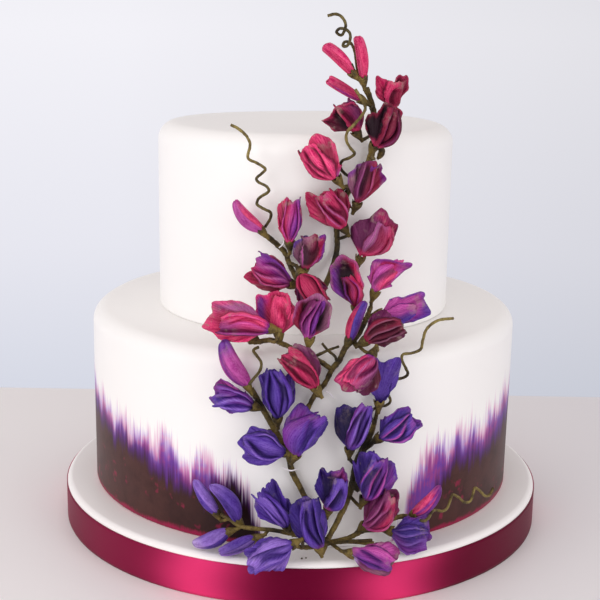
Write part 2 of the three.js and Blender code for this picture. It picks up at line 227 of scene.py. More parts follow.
def add_node(material, kind, links=None, settings=None, **sockets):
    """A node of the kind; links maps a socket to an output; settings are its own properties."""
    node = material.node_tree.nodes.new("ShaderNode" + kind)
    for key, value in (settings or {}).items():
        setattr(node, key, value)
    for key, value in sockets.items():
        node.inputs[key.replace("_", " ")].default_value = value
    for key, output in (links or {}).items():
        material.node_tree.links.new(node.inputs[key], output)
    return node


def colour_mix(material, factor, a, b, how="MIX"):
    """A colour mix node's result; a, b and factor are outputs or plain values."""
    node = add_node(material, "Mix", settings={"data_type": "RGBA", "blend_type": how})
    for place, value in zip((0, 6, 7), (factor, a, b)):
        plug(material, node.inputs[place], value)
    return node.outputs[2]


def maths(material, operation, a, b=0.0, c=0.0):
    """The result of a Math node; a, b and c are outputs or numbers."""
    node = add_node(material, "Math", settings={"operation": operation})
    for socket, value in zip(node.inputs, (a, b, c)):
        plug(material, socket, value)
    return node.outputs[0]


def ramp(material, value, low, high):
    """A smooth 0 to 1 rise of the value between low and high."""
    node = add_node(material, "MapRange", settings={"interpolation_type": "SMOOTHSTEP"})
    for key, bound in (("Value", value), ("From Min", low), ("From Max", high)):
        plug(material, node.inputs[key], bound)
    return node.outputs["Result"]


def feed(material, shader, socket, output):
    """Links an output to one of the shader's sockets."""
    material.node_tree.links.new(shader.inputs[socket], output)


def bump(material, shader, height, strength, distance):
    """Bump from a height output, distance in metres."""
    node = add_node(material, "Bump", {"Height": height}, Strength=strength, Distance=distance)
    feed(material, shader, "Normal", node.outputs["Normal"])


def bound_to(material):
    """The colour_mix, maths and ramp helpers with the material already given."""
    return (partial(helper, material) for helper in (colour_mix, maths, ramp))


# %% What a pattern is read from
def object_place(material):
    """The point's place in metres."""
    return add_node(material, "TexCoord").outputs["Object"]


def surface_uv(material):
    """The piece's own UV map."""
    return add_node(material, "UVMap").outputs["UV"]


def attribute(material, name, output="Fac"):
    """An attribute of the mesh, as a number or as a colour."""
    return add_node(material, "Attribute", settings={"attribute_name": name}).outputs[output]


def part_of(material, vector, axis):
    """One of the X, Y and Z parts of a vector."""
    return add_node(material, "SeparateXYZ", {"Vector": vector}).outputs[axis]


def scaled(material, vector, scale):
    """The vector with its three parts multiplied."""
    return add_node(material, "Mapping", {"Vector": vector}, Scale=scale).outputs["Vector"]


def noise(material, vector, scale, detail=2.0, roughness=0.5):
    """Cloudy noise between 0 and 1, about `scale` clouds a unit."""
    node = add_node(material, "TexNoise", {"Vector": vector}, Scale=scale, Detail=detail, Roughness=roughness)
    return node.outputs["Fac"]


# %% [markdown]
# ## The room
#
# The cake stands on a pale table whose back edge is a hand's breadth behind the board. There is no wall:
# the background is the world's own colour. A lit backdrop could stand there, but it has edges that other
# views meet and its brightness depends on the lamps, while a world's colour can simply be given for each
# height and side.

# %% Table
TABLE_HALF, TABLE_BACK, TABLE_THICK = 2.6, 0.232, 0.03
table_material, shader = new_material("table", Base_Color=(*ink(214, 205, 206), 1), Roughness=0.55)
place = object_place(table_material)
linen = colour_mix(table_material, noise(table_material, place, 3.0), ink(243, 240, 241), ink(250, 247, 247))
# Painted shade: the table's colour darkens towards the right, away from the stronger light on the left.
painted_shade_rightward = ramp(table_material, part_of(table_material, place, "X"), 0.05, 0.40)
feed(table_material, shader, "Base Color", colour_mix(table_material, painted_shade_rightward, linen, ink(229, 227, 233)))
sides, depths, heights = [-TABLE_HALF, TABLE_HALF], [-TABLE_HALF, TABLE_BACK], [-TABLE_THICK, 0.0]
corners = np.stack(np.meshgrid(sides, depths, heights, indexing="ij"), -1).reshape(-1, 3)
table_mesh = bpy.data.meshes.new("table")
box_faces = [[0, 1, 3, 2], [4, 6, 7, 5], [0, 4, 5, 1], [2, 3, 7, 6], [0, 2, 6, 4], [1, 5, 7, 3]]
table_mesh.from_pydata(corners.tolist(), [], box_faces)
table_mesh.materials.append(table_material)
table = bpy.data.objects.new("table", table_mesh)
bpy.context.scene.collection.objects.link(table)
print("table back edge at y =", TABLE_BACK, "m")

# %% World colour
# Height of the direction (-1 straight down, 1 straight up), colour on screen, and a dimming factor.
ROOM = [(-1.0, (170, 168, 174), 1.0), (-0.30, (214, 217, 229), 1.0), (-0.19, (231, 231, 240), 1.0),
        (-0.02, (243, 242, 248), 1.0), (0.10, (243, 242, 248), 0.95), (0.35, (241, 236, 236), 0.88),
        (1.0, (241, 233, 232), 0.80)]
world = bpy.data.worlds.new("room")
bpy.context.scene.world = world
world.use_nodes = True
sky = world.node_tree.nodes["Background"]
direction = add_node(world, "SeparateXYZ", {"Vector": add_node(world, "TexCoord").outputs["Generated"]})
rise = add_node(world, "MapRange", {"Value": direction.outputs["Z"]}, From_Min=-1.0)
bands = add_node(world, "ValToRGB", {"Fac": rise.outputs["Result"]})
stops = bands.color_ramp.elements
for _ in range(len(ROOM) - 2):
    stops.new(0.5)
for stop, (up, _, _) in zip(stops, ROOM):
    stop.position = (up + 1) / 2
for stop, (_, colour, dim) in zip(stops, ROOM):
    stop.color = (*(ink(*colour) * dim), 1)
# The room is dimmer towards the right.
to_right = add_node(world, "MapRange", {"Value": direction.outputs["X"]},
                    From_Min=-0.15, From_Max=0.24, To_Min=1.0, To_Max=0.86)
feed(world, sky, "Strength", to_right.outputs["Result"])
feed(world, sky, "Color", bands.outputs["Color"])
print("world stops:", len(stops))

# %% [markdown]
# ## Light
#
# Two softboxes stand low in front, left and right, so the walls of the tiers are brighter than their tops,
# and the satin ribbon shows two bright bands. The left one is stronger. A wide, weak one in front fills the
# shadows. Small lamps would be simpler, but their shadows have hard edges, and those of area lights are as
# soft as a studio's.

# %% Softboxes
LIT_POINT = np.array([0, 0, 0.12])


def softbox(name, azimuth, elevation, distance, size, power, colour):
    """An area light on a sphere round the cake, facing it: azimuth 0 is -Y and 90 is +X."""
    a, e = np.radians([azimuth, elevation])
    outward = np.array([np.sin(a) * np.cos(e), -np.cos(a) * np.cos(e), np.sin(e)])
    sideways = np.array([np.cos(a), np.sin(a), 0.0])
    data = bpy.data.lights.new(name, "AREA")
    data.shape = "RECTANGLE"
    data.size, data.size_y = size
    data.energy = power
    data.color = colour
    lamp = bpy.data.objects.new(name, data)
    bpy.context.scene.collection.objects.link(lamp)
    centre = LIT_POINT + outward * distance
    lamp.matrix_world = placed_axes([sideways, np.cross(outward, sideways), outward], centre)


softbox("softbox_left", -42, 16, 1.6, (0.7, 1.1), 5.8, (1.0, 0.99, 0.975))
softbox("softbox_right", 42, 14, 1.7, (0.6, 1.0), 4.9, (1.0, 0.99, 0.98))
softbox("softbox_front", -4, 30, 1.8, (1.6, 1.0), 2.0, (1.0, 0.99, 0.98))

# %% [markdown]
# ## Icing
#
# Both tiers and the board are covered in rolled fondant, smoothed by hand: the walls are true to about half
# a millimetre and the edges are soft. A lathe would give a perfect solid of revolution. Here the profile is
# carried round as an array instead, so that slow waves in the radius and the height can be added to it.

# %% Turned surfaces
def arc(radius, z, corner, start, end, count=10):
    """Points of a quarter round: centre + corner * (cos, sin) of angles from start to end in degrees."""
    angle = np.radians(np.linspace(start, end, count))
    return np.stack([radius + corner * np.cos(angle), z + corner * np.sin(angle)], 1)


def run_to(a, b, count):
    """Points evenly from a to b, both ends left out."""
    return np.linspace(a, b, count + 2)[1:-1]


UV_HEIGHT, CAP_WIDTH = 0.3, 0.6  # metres for one unit of uv, up the wall and across a flat end


def turned(profile, slices, uneven, seed):
    """Carries an open (radius, z) profile round Z. The radius grows by slow waves in angle and height, and
    so does the height on top. Both ends are capped. Returns points, quads, caps, uv per corner and the
    angles."""
    angle = np.linspace(0, 2 * np.pi, slices, endpoint=False)
    radius, z = profile[:, :1], profile[:, 1:]
    x, y = np.sin(angle)[None, :], -np.cos(angle)[None, :]
    swell = waves(x * 2 + z * 9, y * 2, seed) * uneven * np.clip(radius / radius.max(), 0, 1)
    near_top = z > z.max() - 0.012
    lift = waves(x * radius * 16, y * radius * 16, seed + 1) * uneven * near_top
    high = np.broadcast_to(z, swell.shape) + lift
    points = np.stack([x * (radius + swell), y * (radius + swell), high], -1)
    rows = len(profile)
    quads = grid_quads(rows, slices, closed=True)
    caps = [range(slices), range(rows * slices - 1, (rows - 1) * slices - 1, -1)]
    j = np.tile(np.arange(slices), rows - 1)
    i = np.repeat(np.arange(rows - 1), slices)
    u = np.stack([j, j + 1, j + 1, j], 1) / slices
    v = np.stack([profile[i, 1], profile[i, 1], profile[i + 1, 1], profile[i + 1, 1]], 1) / UV_HEIGHT
    uv = np.stack([u, v], -1)
    return points.reshape(-1, 3), quads, caps, uv, np.tile(angle, rows)


def cap_uv(uv, caps, points, turned_over):
    """Corner uv of the quads, in the order they are kept, and then of the caps."""
    if turned_over:
        uv = uv[:, ::-1]
    flat = [points[list(cap)][:, :2] / CAP_WIDTH + 0.5 for cap in caps]
    return np.concatenate([uv.reshape(-1, 2), *flat])


def turned_piece(name, profile, slices, uneven, seed, **more):
    """The turned profile as a piece whose faces point outwards; returns it with the angle of each point."""
    points, quads, caps, uv, angle = turned(profile, slices, uneven, seed)
    kept = facing_out(points, quads)
    turned_over = kept[0, 0] != quads[0, 0]
    if turned_over:
        kept = quads[:, ::-1]
    else:
        caps = [list(cap)[::-1] for cap in caps]
    return piece(name, points, kept, caps, uv=cap_uv(uv, caps, points, turned_over), **more), angle


POLE, FOOT_ROUND = 4 * MM, 1.2 * MM


def tier_profile(radius, foot, top, shoulder, rows):
    """From the middle of the underside out, up the wall, over the shoulder and in across the top."""
    return np.concatenate([
        [[POLE, foot], [radius * 0.6, foot]],
        arc(radius - FOOT_ROUND, foot + FOOT_ROUND, FOOT_ROUND, -90, 0, 4),
        np.stack([np.full(rows, radius), run_to(foot + FOOT_ROUND, top - shoulder, rows)], 1),
        arc(radius - shoulder, top - shoulder, shoulder, 0, 90, 12),
        np.stack([run_to(radius - shoulder, POLE, 14), np.full(14, top)], 1),
        [[POLE, top]],
    ])


# %% [markdown]
# ## The brushed foot of the lower tier
#
# Food colour is dabbed round the foot of the lower tier and dragged upwards with a dry brush: near-black
# brown at the board, then purple and magenta streaks that thin out into the white. A picture could be
# wrapped round the tier, but streaks are cheap to describe. How high the colour reaches is a curve round
# the tier, kept on the mesh as an attribute, and a noise texture stretched upwards frays its edge.

# %% Icing materials
BASE_Z = BOARD_TOP * MM
# Angle round the tier from the front, in degrees, against the heights in mm that the streaks and the dark
# reach.
PAINT_REACH = np.array([
    [-180, 84, 62], [-160, 78, 60], [-140, 86, 66], [-120, 80, 62], [-100, 88, 70], [-85, 93, 72],
    [-73, 93, 73], [-65, 90, 70], [-58, 87, 67], [-53, 83, 65], [-49, 79, 64], [-44, 82, 61],
    [-40, 77, 58], [-36, 79, 55], [-32, 75, 53], [-28, 71, 50], [-24, 73, 50], [-20, 72, 56],
    [-17, 71, 62], [-15, 66, 57], [-12, 54, 44], [-10, 41, 32], [-8, 20, 12], [0, 12, 8],
    [20, 12, 8], [25, 32, 12], [27, 52, 20], [30, 68, 26], [33, 76, 33], [36, 78, 48], [40, 80, 60],
    [46, 81, 61], [52, 84, 61], [58, 86, 62], [64, 91, 65], [70, 96, 71], [80, 95, 74],
    [95, 88, 70], [110, 92, 64], [130, 82, 66], [150, 88, 60], [165, 80, 64], [180, 84, 62],
])


def fondant(name, low, high, gloss=0.35):
    """Satin white sugar paste: slow patches of a warmer white, a fine skin and a soft sheen."""
    material, shader = new_material(name, Roughness=0.42, Specular_IOR_Level=gloss)
    place = object_place(material)
    cloud = noise(material, place, 14.0, 3.0)
    fine = noise(material, place, 420.0)
    white = colour_mix(material, cloud, ink(*low), ink(*high))
    feed(material, shader, "Base Color", white)
    bump(material, shader, fine, 0.12, 0.0002)
    return material, shader, white, place


icing, _, _, _ = fondant("icing", (250, 248, 246), (254, 253, 251))
board_icing, _, _, _ = fondant("board_icing", (249, 245, 243), (253, 250, 249))

# %% Painted icing
painted, shader, white, place = fondant("painted_icing", (250, 248, 246), (254, 253, 251), 0.18)
mix, sums, rising = bound_to(painted)
uv = surface_uv(painted)
reach = attribute(painted, "reach")
dark_reach = attribute(painted, "dark_reach")
height = part_of(painted, place, "Z")


def streaks(across, up, detail):
    """Noise on the unrolled wall, finer across than up; the numbers are waves a turn and waves in 0.3 m."""
    return noise(painted, scaled(painted, uv, (across, up, 1.0)), 1.0, detail, 0.65)


def either_side(noise, amount):
    """A noise output as a length in metres, half the amount below zero to half above."""
    return sums("MULTIPLY_ADD", noise, amount, -amount / 2)


bristle, wisp = streaks(1100, 8, 2.0), streaks(380, 7, 2.0)
tuft, patch = streaks(105, 5, 2.0), streaks(60, 22, 3.0)
fray = sums("ADD", either_side(tuft, 0.036), either_side(wisp, 0.018))
# How far a point is under the frayed upper edge of the streaks, and under that of the dark, in metres.
over = sums("SUBTRACT", sums("ADD", reach, fray), height)
brushed = sums("ADD", over, either_side(bristle, 0.030))
over_dark = sums("SUBTRACT", sums("MULTIPLY_ADD", fray, 0.75, dark_reach), height)
brushed_dark = sums("ADD", over_dark, either_side(bristle, 0.012))
hue = rising(sums("MULTIPLY_ADD", bristle, 0.6, sums("SUBTRACT", patch, 0.3)), 0.42, 0.62)
faint = mix(hue, ink(186, 140, 216), ink(222, 146, 196))
strong = mix(hue, ink(112, 62, 158), ink(152, 66, 140))
streak_colour = mix(rising(over, -0.001, 0.014), faint, strong)
streak_colour = mix(rising(brushed_dark, -0.014, 0.0), streak_colour, ink(74, 34, 92))
# Painted sheen: the brown of the dark band turns paler away from the front centre, towards the sides of the
# tier as seen from the front.
off_centre = sums("ABSOLUTE", part_of(painted, place, "X"))
brown_with_painted_sheen = mix(rising(off_centre, 0.02, 0.10), ink(34, 12, 14), ink(78, 46, 43))
near_black = mix(0.5, brown_with_painted_sheen, ink(24, 10, 14))
dark_colour = mix(rising(patch, 0.2, 0.66), near_black, brown_with_painted_sheen)
coat = mix(rising(brushed, -0.007, 0.009), white, streak_colour)
coat = mix(rising(brushed_dark, -0.004, 0.004), coat, dark_colour)
dab = noise(painted, place, 130.0, 2.0, 0.6)
low_down = rising(height, BASE_Z + 0.050, BASE_Z + 0.002)
dab = rising(sums("MULTIPLY_ADD", low_down, 0.08, dab), 0.66, 0.80)
edge = sums("ADD", sums("ADD", height, either_side(patch, 0.008)), either_side(bristle, 0.003))
at_foot = rising(edge, BASE_Z + 0.0042, BASE_Z + 0.0012)
crimson_cover = sums("MULTIPLY", sums("MAXIMUM", at_foot, sums("MULTIPLY", dab, 0.7)),
                      rising(over_dark, 0.0, 0.006))
coat = mix(crimson_cover, coat, ink(150, 30, 70))
feed(painted, shader, "Base Color", coat)

# %% The two tiers and the board
LOWER_SHOULDER, UPPER_SHOULDER, BOARD_SHOULDER = 9 * MM, 11 * MM, 4 * MM
HAND_WAVE, BOARD_WAVE = 0.5 * MM, 0.2 * MM
profile = tier_profile(LOWER_RADIUS * MM, BASE_Z, LEDGE_TOP * MM, LOWER_SHOULDER, 46)
lower, angle = turned_piece("lower_cake", profile, 288, HAND_WAVE, 3,
                            material=painted, stands_for=["lower_tier"], slot="icing")
turn = np.degrees((angle + np.pi) % (2 * np.pi) - np.pi)
for key, column in (("reach", 1), ("dark_reach", 2)):
    add_value(lower.data, key, np.interp(turn, PAINT_REACH[:, 0], PAINT_REACH[:, column]) * MM)
profile = tier_profile(UPPER_RADIUS * MM, LEDGE_TOP * MM, CAKE_TOP * MM, UPPER_SHOULDER, 30)
turned_piece("upper_cake", profile, 240, HAND_WAVE, 8,
             material=icing, stands_for=["upper_tier"], slot="icing")
profile = tier_profile(BOARD_RADIUS * MM, 0.0, BASE_Z, BOARD_SHOULDER, 8)
turned_piece("iced_board", profile, 288, BOARD_WAVE, 21,
             material=board_icing, stands_for=["cake_board"], slot="board_icing")
print("lower tier points:", len(angle), "across in mm:", round(2 * LOWER_RADIUS, 1))

# %% [markdown]
# ## Satin ribbon
#
# The ribbon runs once round the rim of the board and overlaps itself at the back. Satin shines across its
# threads, so a light gives one upright band wherever the ribbon faces half-way to it. An anisotropic shader
# does that: its highlight is narrow one way and long the other. The bright bands are also painted
# highlights in the ribbon's colour, kept on the mesh as an attribute by angle round the board.

# %% Ribbon
satin, shader = new_material("satin", Roughness=0.38, Anisotropic=0.8, Specular_IOR_Level=0.16,
                             Sheen_Weight=0.03, Sheen_Roughness=0.4)
shader.inputs["Specular Tint"].default_value = (*ink(255, 130, 165), 1)
threads = noise(satin, scaled(satin, surface_uv(satin), (300, 2200, 1)), 1.0)
shine = attribute(satin, "shine")
# Painted highlight: the dark dye turns bright pink where the painted bands lie.
dye_with_painted_highlight = colour_mix(satin, shine, ink(82, 1, 32), ink(232, 58, 118))
some_thread = maths(satin, "MULTIPLY", threads, 0.22)
feed(satin, shader, "Base Color", colour_mix(satin, some_thread, dye_with_painted_highlight, ink(160, 20, 72)))
bump(satin, shader, threads, 0.25, 0.00008)
tangent = add_node(satin, "Tangent", settings={"direction_type": "RADIAL", "axis": "Z"}).outputs["Tangent"]
feed(satin, shader, "Tangent", tangent)


# Painted highlights, bright bands painted into the ribbon's colour: centre in degrees from the front, spread
# in degrees, and strength.
PAINTED_HIGHLIGHT_BANDS = [(-21, 6.3, 0.95), (21, 6.2, 0.96), (-44, 15, 0.14), (-95, 14, 0.5), (-138, 9, 0.8), (172, 8, 0.7),
         (128, 9, 0.8), (86, 7, 0.35)]


def ribbon_strip(name, start, end, inner, outer, low, high, **more):
    """A band from angle start to end in degrees: a sheet half-way between the two radii, made a shell."""
    angle = np.radians(np.linspace(start, end, int(abs(end - start) * 0.8) + 2))[:, None]
    z = np.linspace(low, high, 13)[None, :]
    radius = (inner + outer) / 2 + 0.06 * MM * waves(np.sin(angle) * 9, np.cos(angle) * 9, 5)
    sheet = np.stack(np.broadcast_arrays(radius * np.sin(angle), -radius * np.cos(angle), z), -1)
    points, quads = shell(sheet, outer - inner)
    turn = np.linspace(start, end, len(angle))[:, None]
    u, v = np.broadcast_arrays(turn / 360 + 0.5, z / UV_HEIGHT)
    once = np.stack([u, v], -1).reshape(-1, 2)
    drift = 1.2 * np.sin(z * 160)
    # Painted highlight: the strength of the bands at each point, wavering a little up the ribbon.
    bands = sum(height * np.exp(-((turn - centre + drift + 180) % 360 - 180) ** 2 / (2 * spread ** 2))
                for centre, spread, height in PAINTED_HIGHLIGHT_BANDS)
    shine = np.clip(np.broadcast_to(bands, u.shape), 0, 1).ravel()
    return piece(name, points, quads, uv=np.concatenate([once, once]), material=satin, slot="satin_ribbon",
                 shine=np.concatenate([shine, shine]), **more)


RIBBON_OUTER, LAP_OUTER = 153.1 * MM, 153.6 * MM
ribbon_strip("ribbon", -176, 184, BOARD_RADIUS * MM, RIBBON_OUTER, 0.3 * MM, 22.4 * MM,
             stands_for=["board_ribbon"])
ribbon_strip("ribbon_overlap", 176, 192, RIBBON_OUTER, LAP_OUTER, 0.4 * MM, 22.3 * MM)
print("ribbon thickness in mm:", round(RIBBON_OUTER / MM - BOARD_RADIUS, 2))

# %% [markdown]
# ## Where the flowers hang
#
# The wires lie on the walls and bridge the ledge, so places are given as x, the height z, and how far out
# from that hanging surface, in millimetres. A flower's own axes follow from the way it grows: `head` is its
# direction as seen from the front (0 up, 90 right), `lift` tips it towards the viewer and `turn` spins it
# on its axis.

# %% Hanging surface and flower axes
SLOPE_FOOT, SLOPE_HEIGHT = 132, 50


def hang(rows):
    """Points in mm from rows of (x, out, z): the radius is the wall's, or a slope between the two walls, plus
    out."""
    x, out, z = np.asarray(rows, float).T
    slope = np.clip((z - SLOPE_FOOT) / SLOPE_HEIGHT, 0, 1)
    radius = LOWER_RADIUS + (UPPER_RADIUS - LOWER_RADIUS) * slope + out
    return np.stack([x, -np.sqrt(radius ** 2 - x ** 2), z], -1)


def flower_axes(x, out, z, head, lift, turn):
    """Base point in mm and the unit vectors side, face and along: along is the way it grows."""
    head, lift, turn = np.radians([head, lift, turn])
    along = np.array([np.sin(head) * np.cos(lift), -np.sin(lift), np.cos(head) * np.cos(lift)])
    face = np.array([0, -1, 0]) + along * along[1]
    face /= np.linalg.norm(face)
    face = face * np.cos(turn) + np.cross(along, face) * np.sin(turn)
    return hang([[x, out, z]])[0], np.cross(along, face), face, along


def to_world(axes, side, face, along):
    """Points in metres, from a flower's own side, face and along in mm."""
    base, e_side, e_face, e_along = axes
    side, face, along = np.broadcast_arrays(side, face, along)
    return (base + side[..., None] * e_side + face[..., None] * e_face + along[..., None] * e_along) * MM


# %% [markdown]
# ## Sugar sweet peas
#
# Each flower is a few thin sheets of sugar paste. The standard is a fan that stands behind and round them:
# its two halves curl forward or back, its top may nod over as a hood, and its edge is frilled with a ball
# tool. In front of it stand the wings, one folded body with deep folds along it. Colours sit bright on the
# ridges as a painted highlight and near black in the folds, partly dust and partly painted shade. A sculpted
# mesh or a few scanned petals could do, but each flower here is its own formula with its own numbers, so
# all of them differ as hand-made ones do.

# %% Dust colours, also laid on as painted highlight and painted shade
# Each kind of piece has its own row of seeds, so that no two pieces share one.
SEED = {"standard": 100, "wings": 200, "bud": 300, "run": 400, "stalk": 600, "tendril": 800, "curl": 900,
        "leaf": 930, "pin": 960, "crumb": 980}
DUST_AND_PAINTED_LIGHT = {
    "rose": ink(232, 62, 122), "pink": ink(220, 40, 104), "magenta": ink(186, 24, 86),
    "crimson": ink(142, 8, 58), "wine": ink(88, 4, 42), "black": ink(32, 3, 22), "plum": ink(104, 26, 80),
    "mauve": ink(172, 88, 146), "dusky": ink(138, 84, 112), "orchid": ink(196, 76, 166),
    "purple": ink(116, 42, 142), "violet": ink(88, 54, 160), "indigo": ink(52, 26, 116),
    "night": ink(26, 10, 66), "lilac": ink(142, 104, 200), "pale": ink(188, 160, 220),
}


def dusted(colours, s, t, seed, strength=0.10):
    """Uneven dusting: the colour times 1 plus slow waves and fine streaks that run along the petal."""
    shade = 1.3 * waves(s * 2, t * 2, seed, 5, 1, 4) + 0.8 * waves(s * 26, t * 3, seed + 7, 6, 0.6, 1.4)
    return np.clip(colours * (0.92 + strength * shade[..., None]), 0, 1)


# %% The standard
FAN_HALF = 118  # degrees from the tip round to each lower edge
HOOD_FOOT = 0.55  # share of the length where the hood starts to bend


def standard(axes, length, width, left, right, hood, frill, notch, arch, tints, seed, lobes=()):
    """A fan of points v * rim(u): u runs round the rim from one lower edge over the top to the other, v from
    the base to the rim. Each half then rolls round an upright cylinder, its rim turned by `left` or `right`
    degrees (forward if positive), the top bends forward by `hood` degrees, and waves about `frill` mm high
    lift the rim. `lobes` push the rim out or in: (angle from the tip, share of the reach, breadth in
    degrees)."""
    rng = np.random.default_rng(seed)
    u, v = np.linspace(-1, 1, 65)[:, None], np.linspace(0.05, 1, 25)[None, :]
    psi = u * np.radians(FAN_HALF)
    phase = rng.uniform(0, 2 * np.pi, 6)
    outline = 1 + 0.06 * np.sin(2.6 * psi + phase[0]) + 0.035 * np.sin(6.3 * psi + phase[1])
    teeth = np.sin(19 * psi + phase[5]) + 0.6 * np.sin(31 * psi)
    outline = outline + (0.008 * frill + 0.05 * max(frill - 1.3, 0)) * teeth
    for spot, share, breadth in lobes:
        outline = outline + share * np.exp(-((np.degrees(psi) - spot) / breadth) ** 2)
    reach = v * (1 + (outline - 1) * v ** 1.5)
    across = reach * np.sin(psi)
    up = reach * (0.54 + 0.46 * np.cos(psi) - notch * np.exp(-(psi / 0.28) ** 2)) + 0.02
    roll = np.radians(np.where(across < 0, left, right))
    roll = np.where(np.abs(roll) < 0.05, 0.05, roll)
    radius = width / 2 / np.sin(np.minimum(np.abs(roll), np.pi / 2))
    side = radius * np.sin(np.abs(roll) * np.abs(across)) * np.sign(across)
    face = np.sign(roll) * radius * (1 - np.cos(roll * across))
    face = face + arch * length * np.sin(np.pi * np.clip(up, 0, 1) ** 0.8)
    bend = np.maximum(np.radians(abs(hood)) * smooth_step(up, HOOD_FOOT, 1.05), 0.01)
    over = np.maximum(up - HOOD_FOOT, 0)
    face = face + np.sign(hood) * length * over * (1 - np.cos(bend)) / bend * 1.2
    along = length * (np.minimum(up, HOOD_FOOT) + over * np.sin(bend) / bend)
    wave = np.sin(4.3 * psi + phase[2]) + 0.5 * np.sin(9 * psi + phase[3])
    wave = wave + 0.25 * np.sin(17 * psi + phase[4])
    rim = v ** 3
    face = face + (0.7 + 1.4 * frill) * rim * wave
    side = side * (1 + 0.02 * rim * np.cos(6 * psi + phase[5]))
    sheet = to_world(axes, side, face, along)
    inner, on_left, on_right, edge, foot = (DUST_AND_PAINTED_LIGHT[t] for t in tints)
    colours = blend(on_left, on_right, smooth_step(across + 0.12 * wave * rim, -0.25, 0.25))
    shade = smooth_step(np.hypot(across / 0.62, (up - 0.5) / 0.55) + 0.08 * wave * v, 0.55, 1.2)
    # Painted shade: the inner tint darkens the fan round the wings and fades out towards the rim; partly it
    # is the flower's own colour there.
    colours = blend(inner, colours, shade)
    # Painted light and shade: the frills are lighter where they lift forward and darker where they bend back.
    colours = colours * (1 + 0.16 * np.clip(wave * rim, -1.5, 1.5))[..., None]
    colours = blend(colours, edge, smooth_step(v + 0.03 * wave, 0.84, 0.99) * 0.75)
    colours = blend(colours, foot, 1 - smooth_step(up, 0.05, 0.26))
    return sheet, dusted(colours, u * 2, v, seed), u, v


# %% The folded wings
def wings(axes, length, width, centre, wide, high, start, end, tilt, tip, folds, tints, arch, seed):
    """A raised body over the standard: height = high * envelope(q) * roundness(p) * (1 - folds(p, q)), with p
    across and q along, turned about its foot by `tilt` degrees. `tip` is its width at the end against its
    belly. A fold is (place at the foot, the middle, the tip, depth, breadth): a bell-shaped dip, sharp on one
    side and soft on the other by the sign of its breadth, with a painted highlight along the lip on the sharp
    side."""
    rng = np.random.default_rng(seed)
    p, q = np.linspace(-1, 1, 65)[:, None], np.linspace(0, 1, 37)[None, :]
    belly, tip = 0.55, 0.3 + 0.7 * tip
    opening = np.sin(np.pi / 2 * np.clip(q / belly, 0, 1) ** 0.8)
    closing = tip + (1 - tip) * np.cos(np.pi / 2 * np.clip((q - belly) / (1 - belly), 0, 1)) ** 0.8
    spread = 0.16 + 0.84 * np.where(q < belly, opening, closing)
    tall = (0.12 + 0.88 * np.sin(np.pi / 2 * np.clip(q / 0.45, 0, 1)) ** 0.8) * \
        np.cos(np.pi / 2 * np.clip((q - 0.6) / 0.47, 0, 1)) ** (0.55 - 0.35 * tip)
    dips, lip_highlights = np.zeros_like(p * q), np.zeros_like(p * q)
    for foot, middle, end_place, depth, breadth in folds:
        line = foot + (4 * middle - 3 * foot - end_place) * q
        line = line + 2 * (foot + end_place - 2 * middle) * q ** 2
        line = line + 0.12 * np.sin(5.5 * q + rng.uniform(0, 6))
        off = (p - line) * np.sign(breadth)
        bell = np.exp(-(off / np.where(off < 0, 0.65, 1.5) / abs(breadth)) ** 2)
        begin, finish = rng.uniform(-0.15, 0.05), rng.uniform(0.85, 1.1)
        fade = smooth_step(q, begin, begin + 0.25) * (1 - smooth_step(q, finish - 0.25, finish + 0.05))
        dips = dips + depth * bell * fade
        lip_highlight = np.exp(-((off + abs(breadth)) / 0.05) ** 2) * fade * min(abs(depth) * 1.2, 1)
        lip_highlights = np.maximum(lip_highlights, lip_highlight)
    dips = np.clip(dips, -0.8, 0.93)
    round_off = np.clip(1 - np.abs(p) ** 2.6, 0, 1) ** 0.55
    swell = 1 + 0.10 * waves(p * 1.5, q * 3, seed + 1)
    rise = high * tall * round_off * (1 - 0.85 * dips) * swell
    wavy = 0.13 * np.sin(7 * q + rng.uniform(0, 6)) + 0.08 * waves(p, q * 14, seed + 9)
    edge = 1 + np.abs(p) ** 3 * wavy
    across = 0.9 * wide * width / 2 * spread * np.sin(p * np.pi / 2) * edge + centre * width / 2
    across = across + 0.5 * waves(p * 2, q * 4, seed + 3) * np.abs(p) ** 2 + rng.uniform(-0.3, 0.3) * rise
    across = across + rng.choice([-1, 1]) * rng.uniform(0.04, 0.12) * width * np.sin(3.2 * q)
    ragged = 0.06 * waves(p * 2.5, q, seed + 5) + 0.015 * waves(p * 9, q, seed + 15)
    up = length * (start + (end - start) * (q + q * ragged))
    face = rise + arch * length * np.sin(np.pi * np.clip(up / length, 0, 1) ** 0.8) + 0.4
    turn = np.radians(tilt + rng.choice([-1, 1]) * rng.uniform(2, 7) * (2 * q - 0.9))
    foot = start * length
    side = across * np.cos(turn) + (up - foot) * np.sin(turn)
    along = (up - foot) * np.cos(turn) - (across - centre * width / 2) * np.sin(turn) + foot
    sheet = to_world(axes, side, face, along)
    on_left, on_right, crest_highlight, deep, foot_tint = (DUST_AND_PAINTED_LIGHT[t] for t in tints)
    colours = blend(on_left, on_right, smooth_step(p + 0.25 * waves(p, q * 3, seed + 6), -0.6, 0.6))
    # Painted highlight: the rounded crests are blended towards the crest tint.
    colours = blend(colours, crest_highlight, smooth_step(round_off * (1 - dips), 0.8, 1.15) * 0.5)
    # Partly dust and partly painted shade: the folds go near black.
    colours = blend(colours, deep, smooth_step(dips, 0.22, 0.8) * 0.75)
    # Painted highlight: a pale line along the lip of each fold.
    colours = blend(colours, crest_highlight, lip_highlights * 0.8)
    # Painted highlight and shade: the rounded, unfolded parts are brighter and the folds darker.
    colours = colours * (0.86 + 0.2 * round_off * (1 - np.clip(dips, 0, 1)))[..., None]
    colours = blend(colours, deep, smooth_step(np.abs(p), 0.88, 1.0) * 0.8)
    colours = blend(colours, foot_tint, 1 - smooth_step(q, 0.02, 0.18))
    return sheet, dusted(colours, p * 2, q, seed + 11), p * 0.5, q
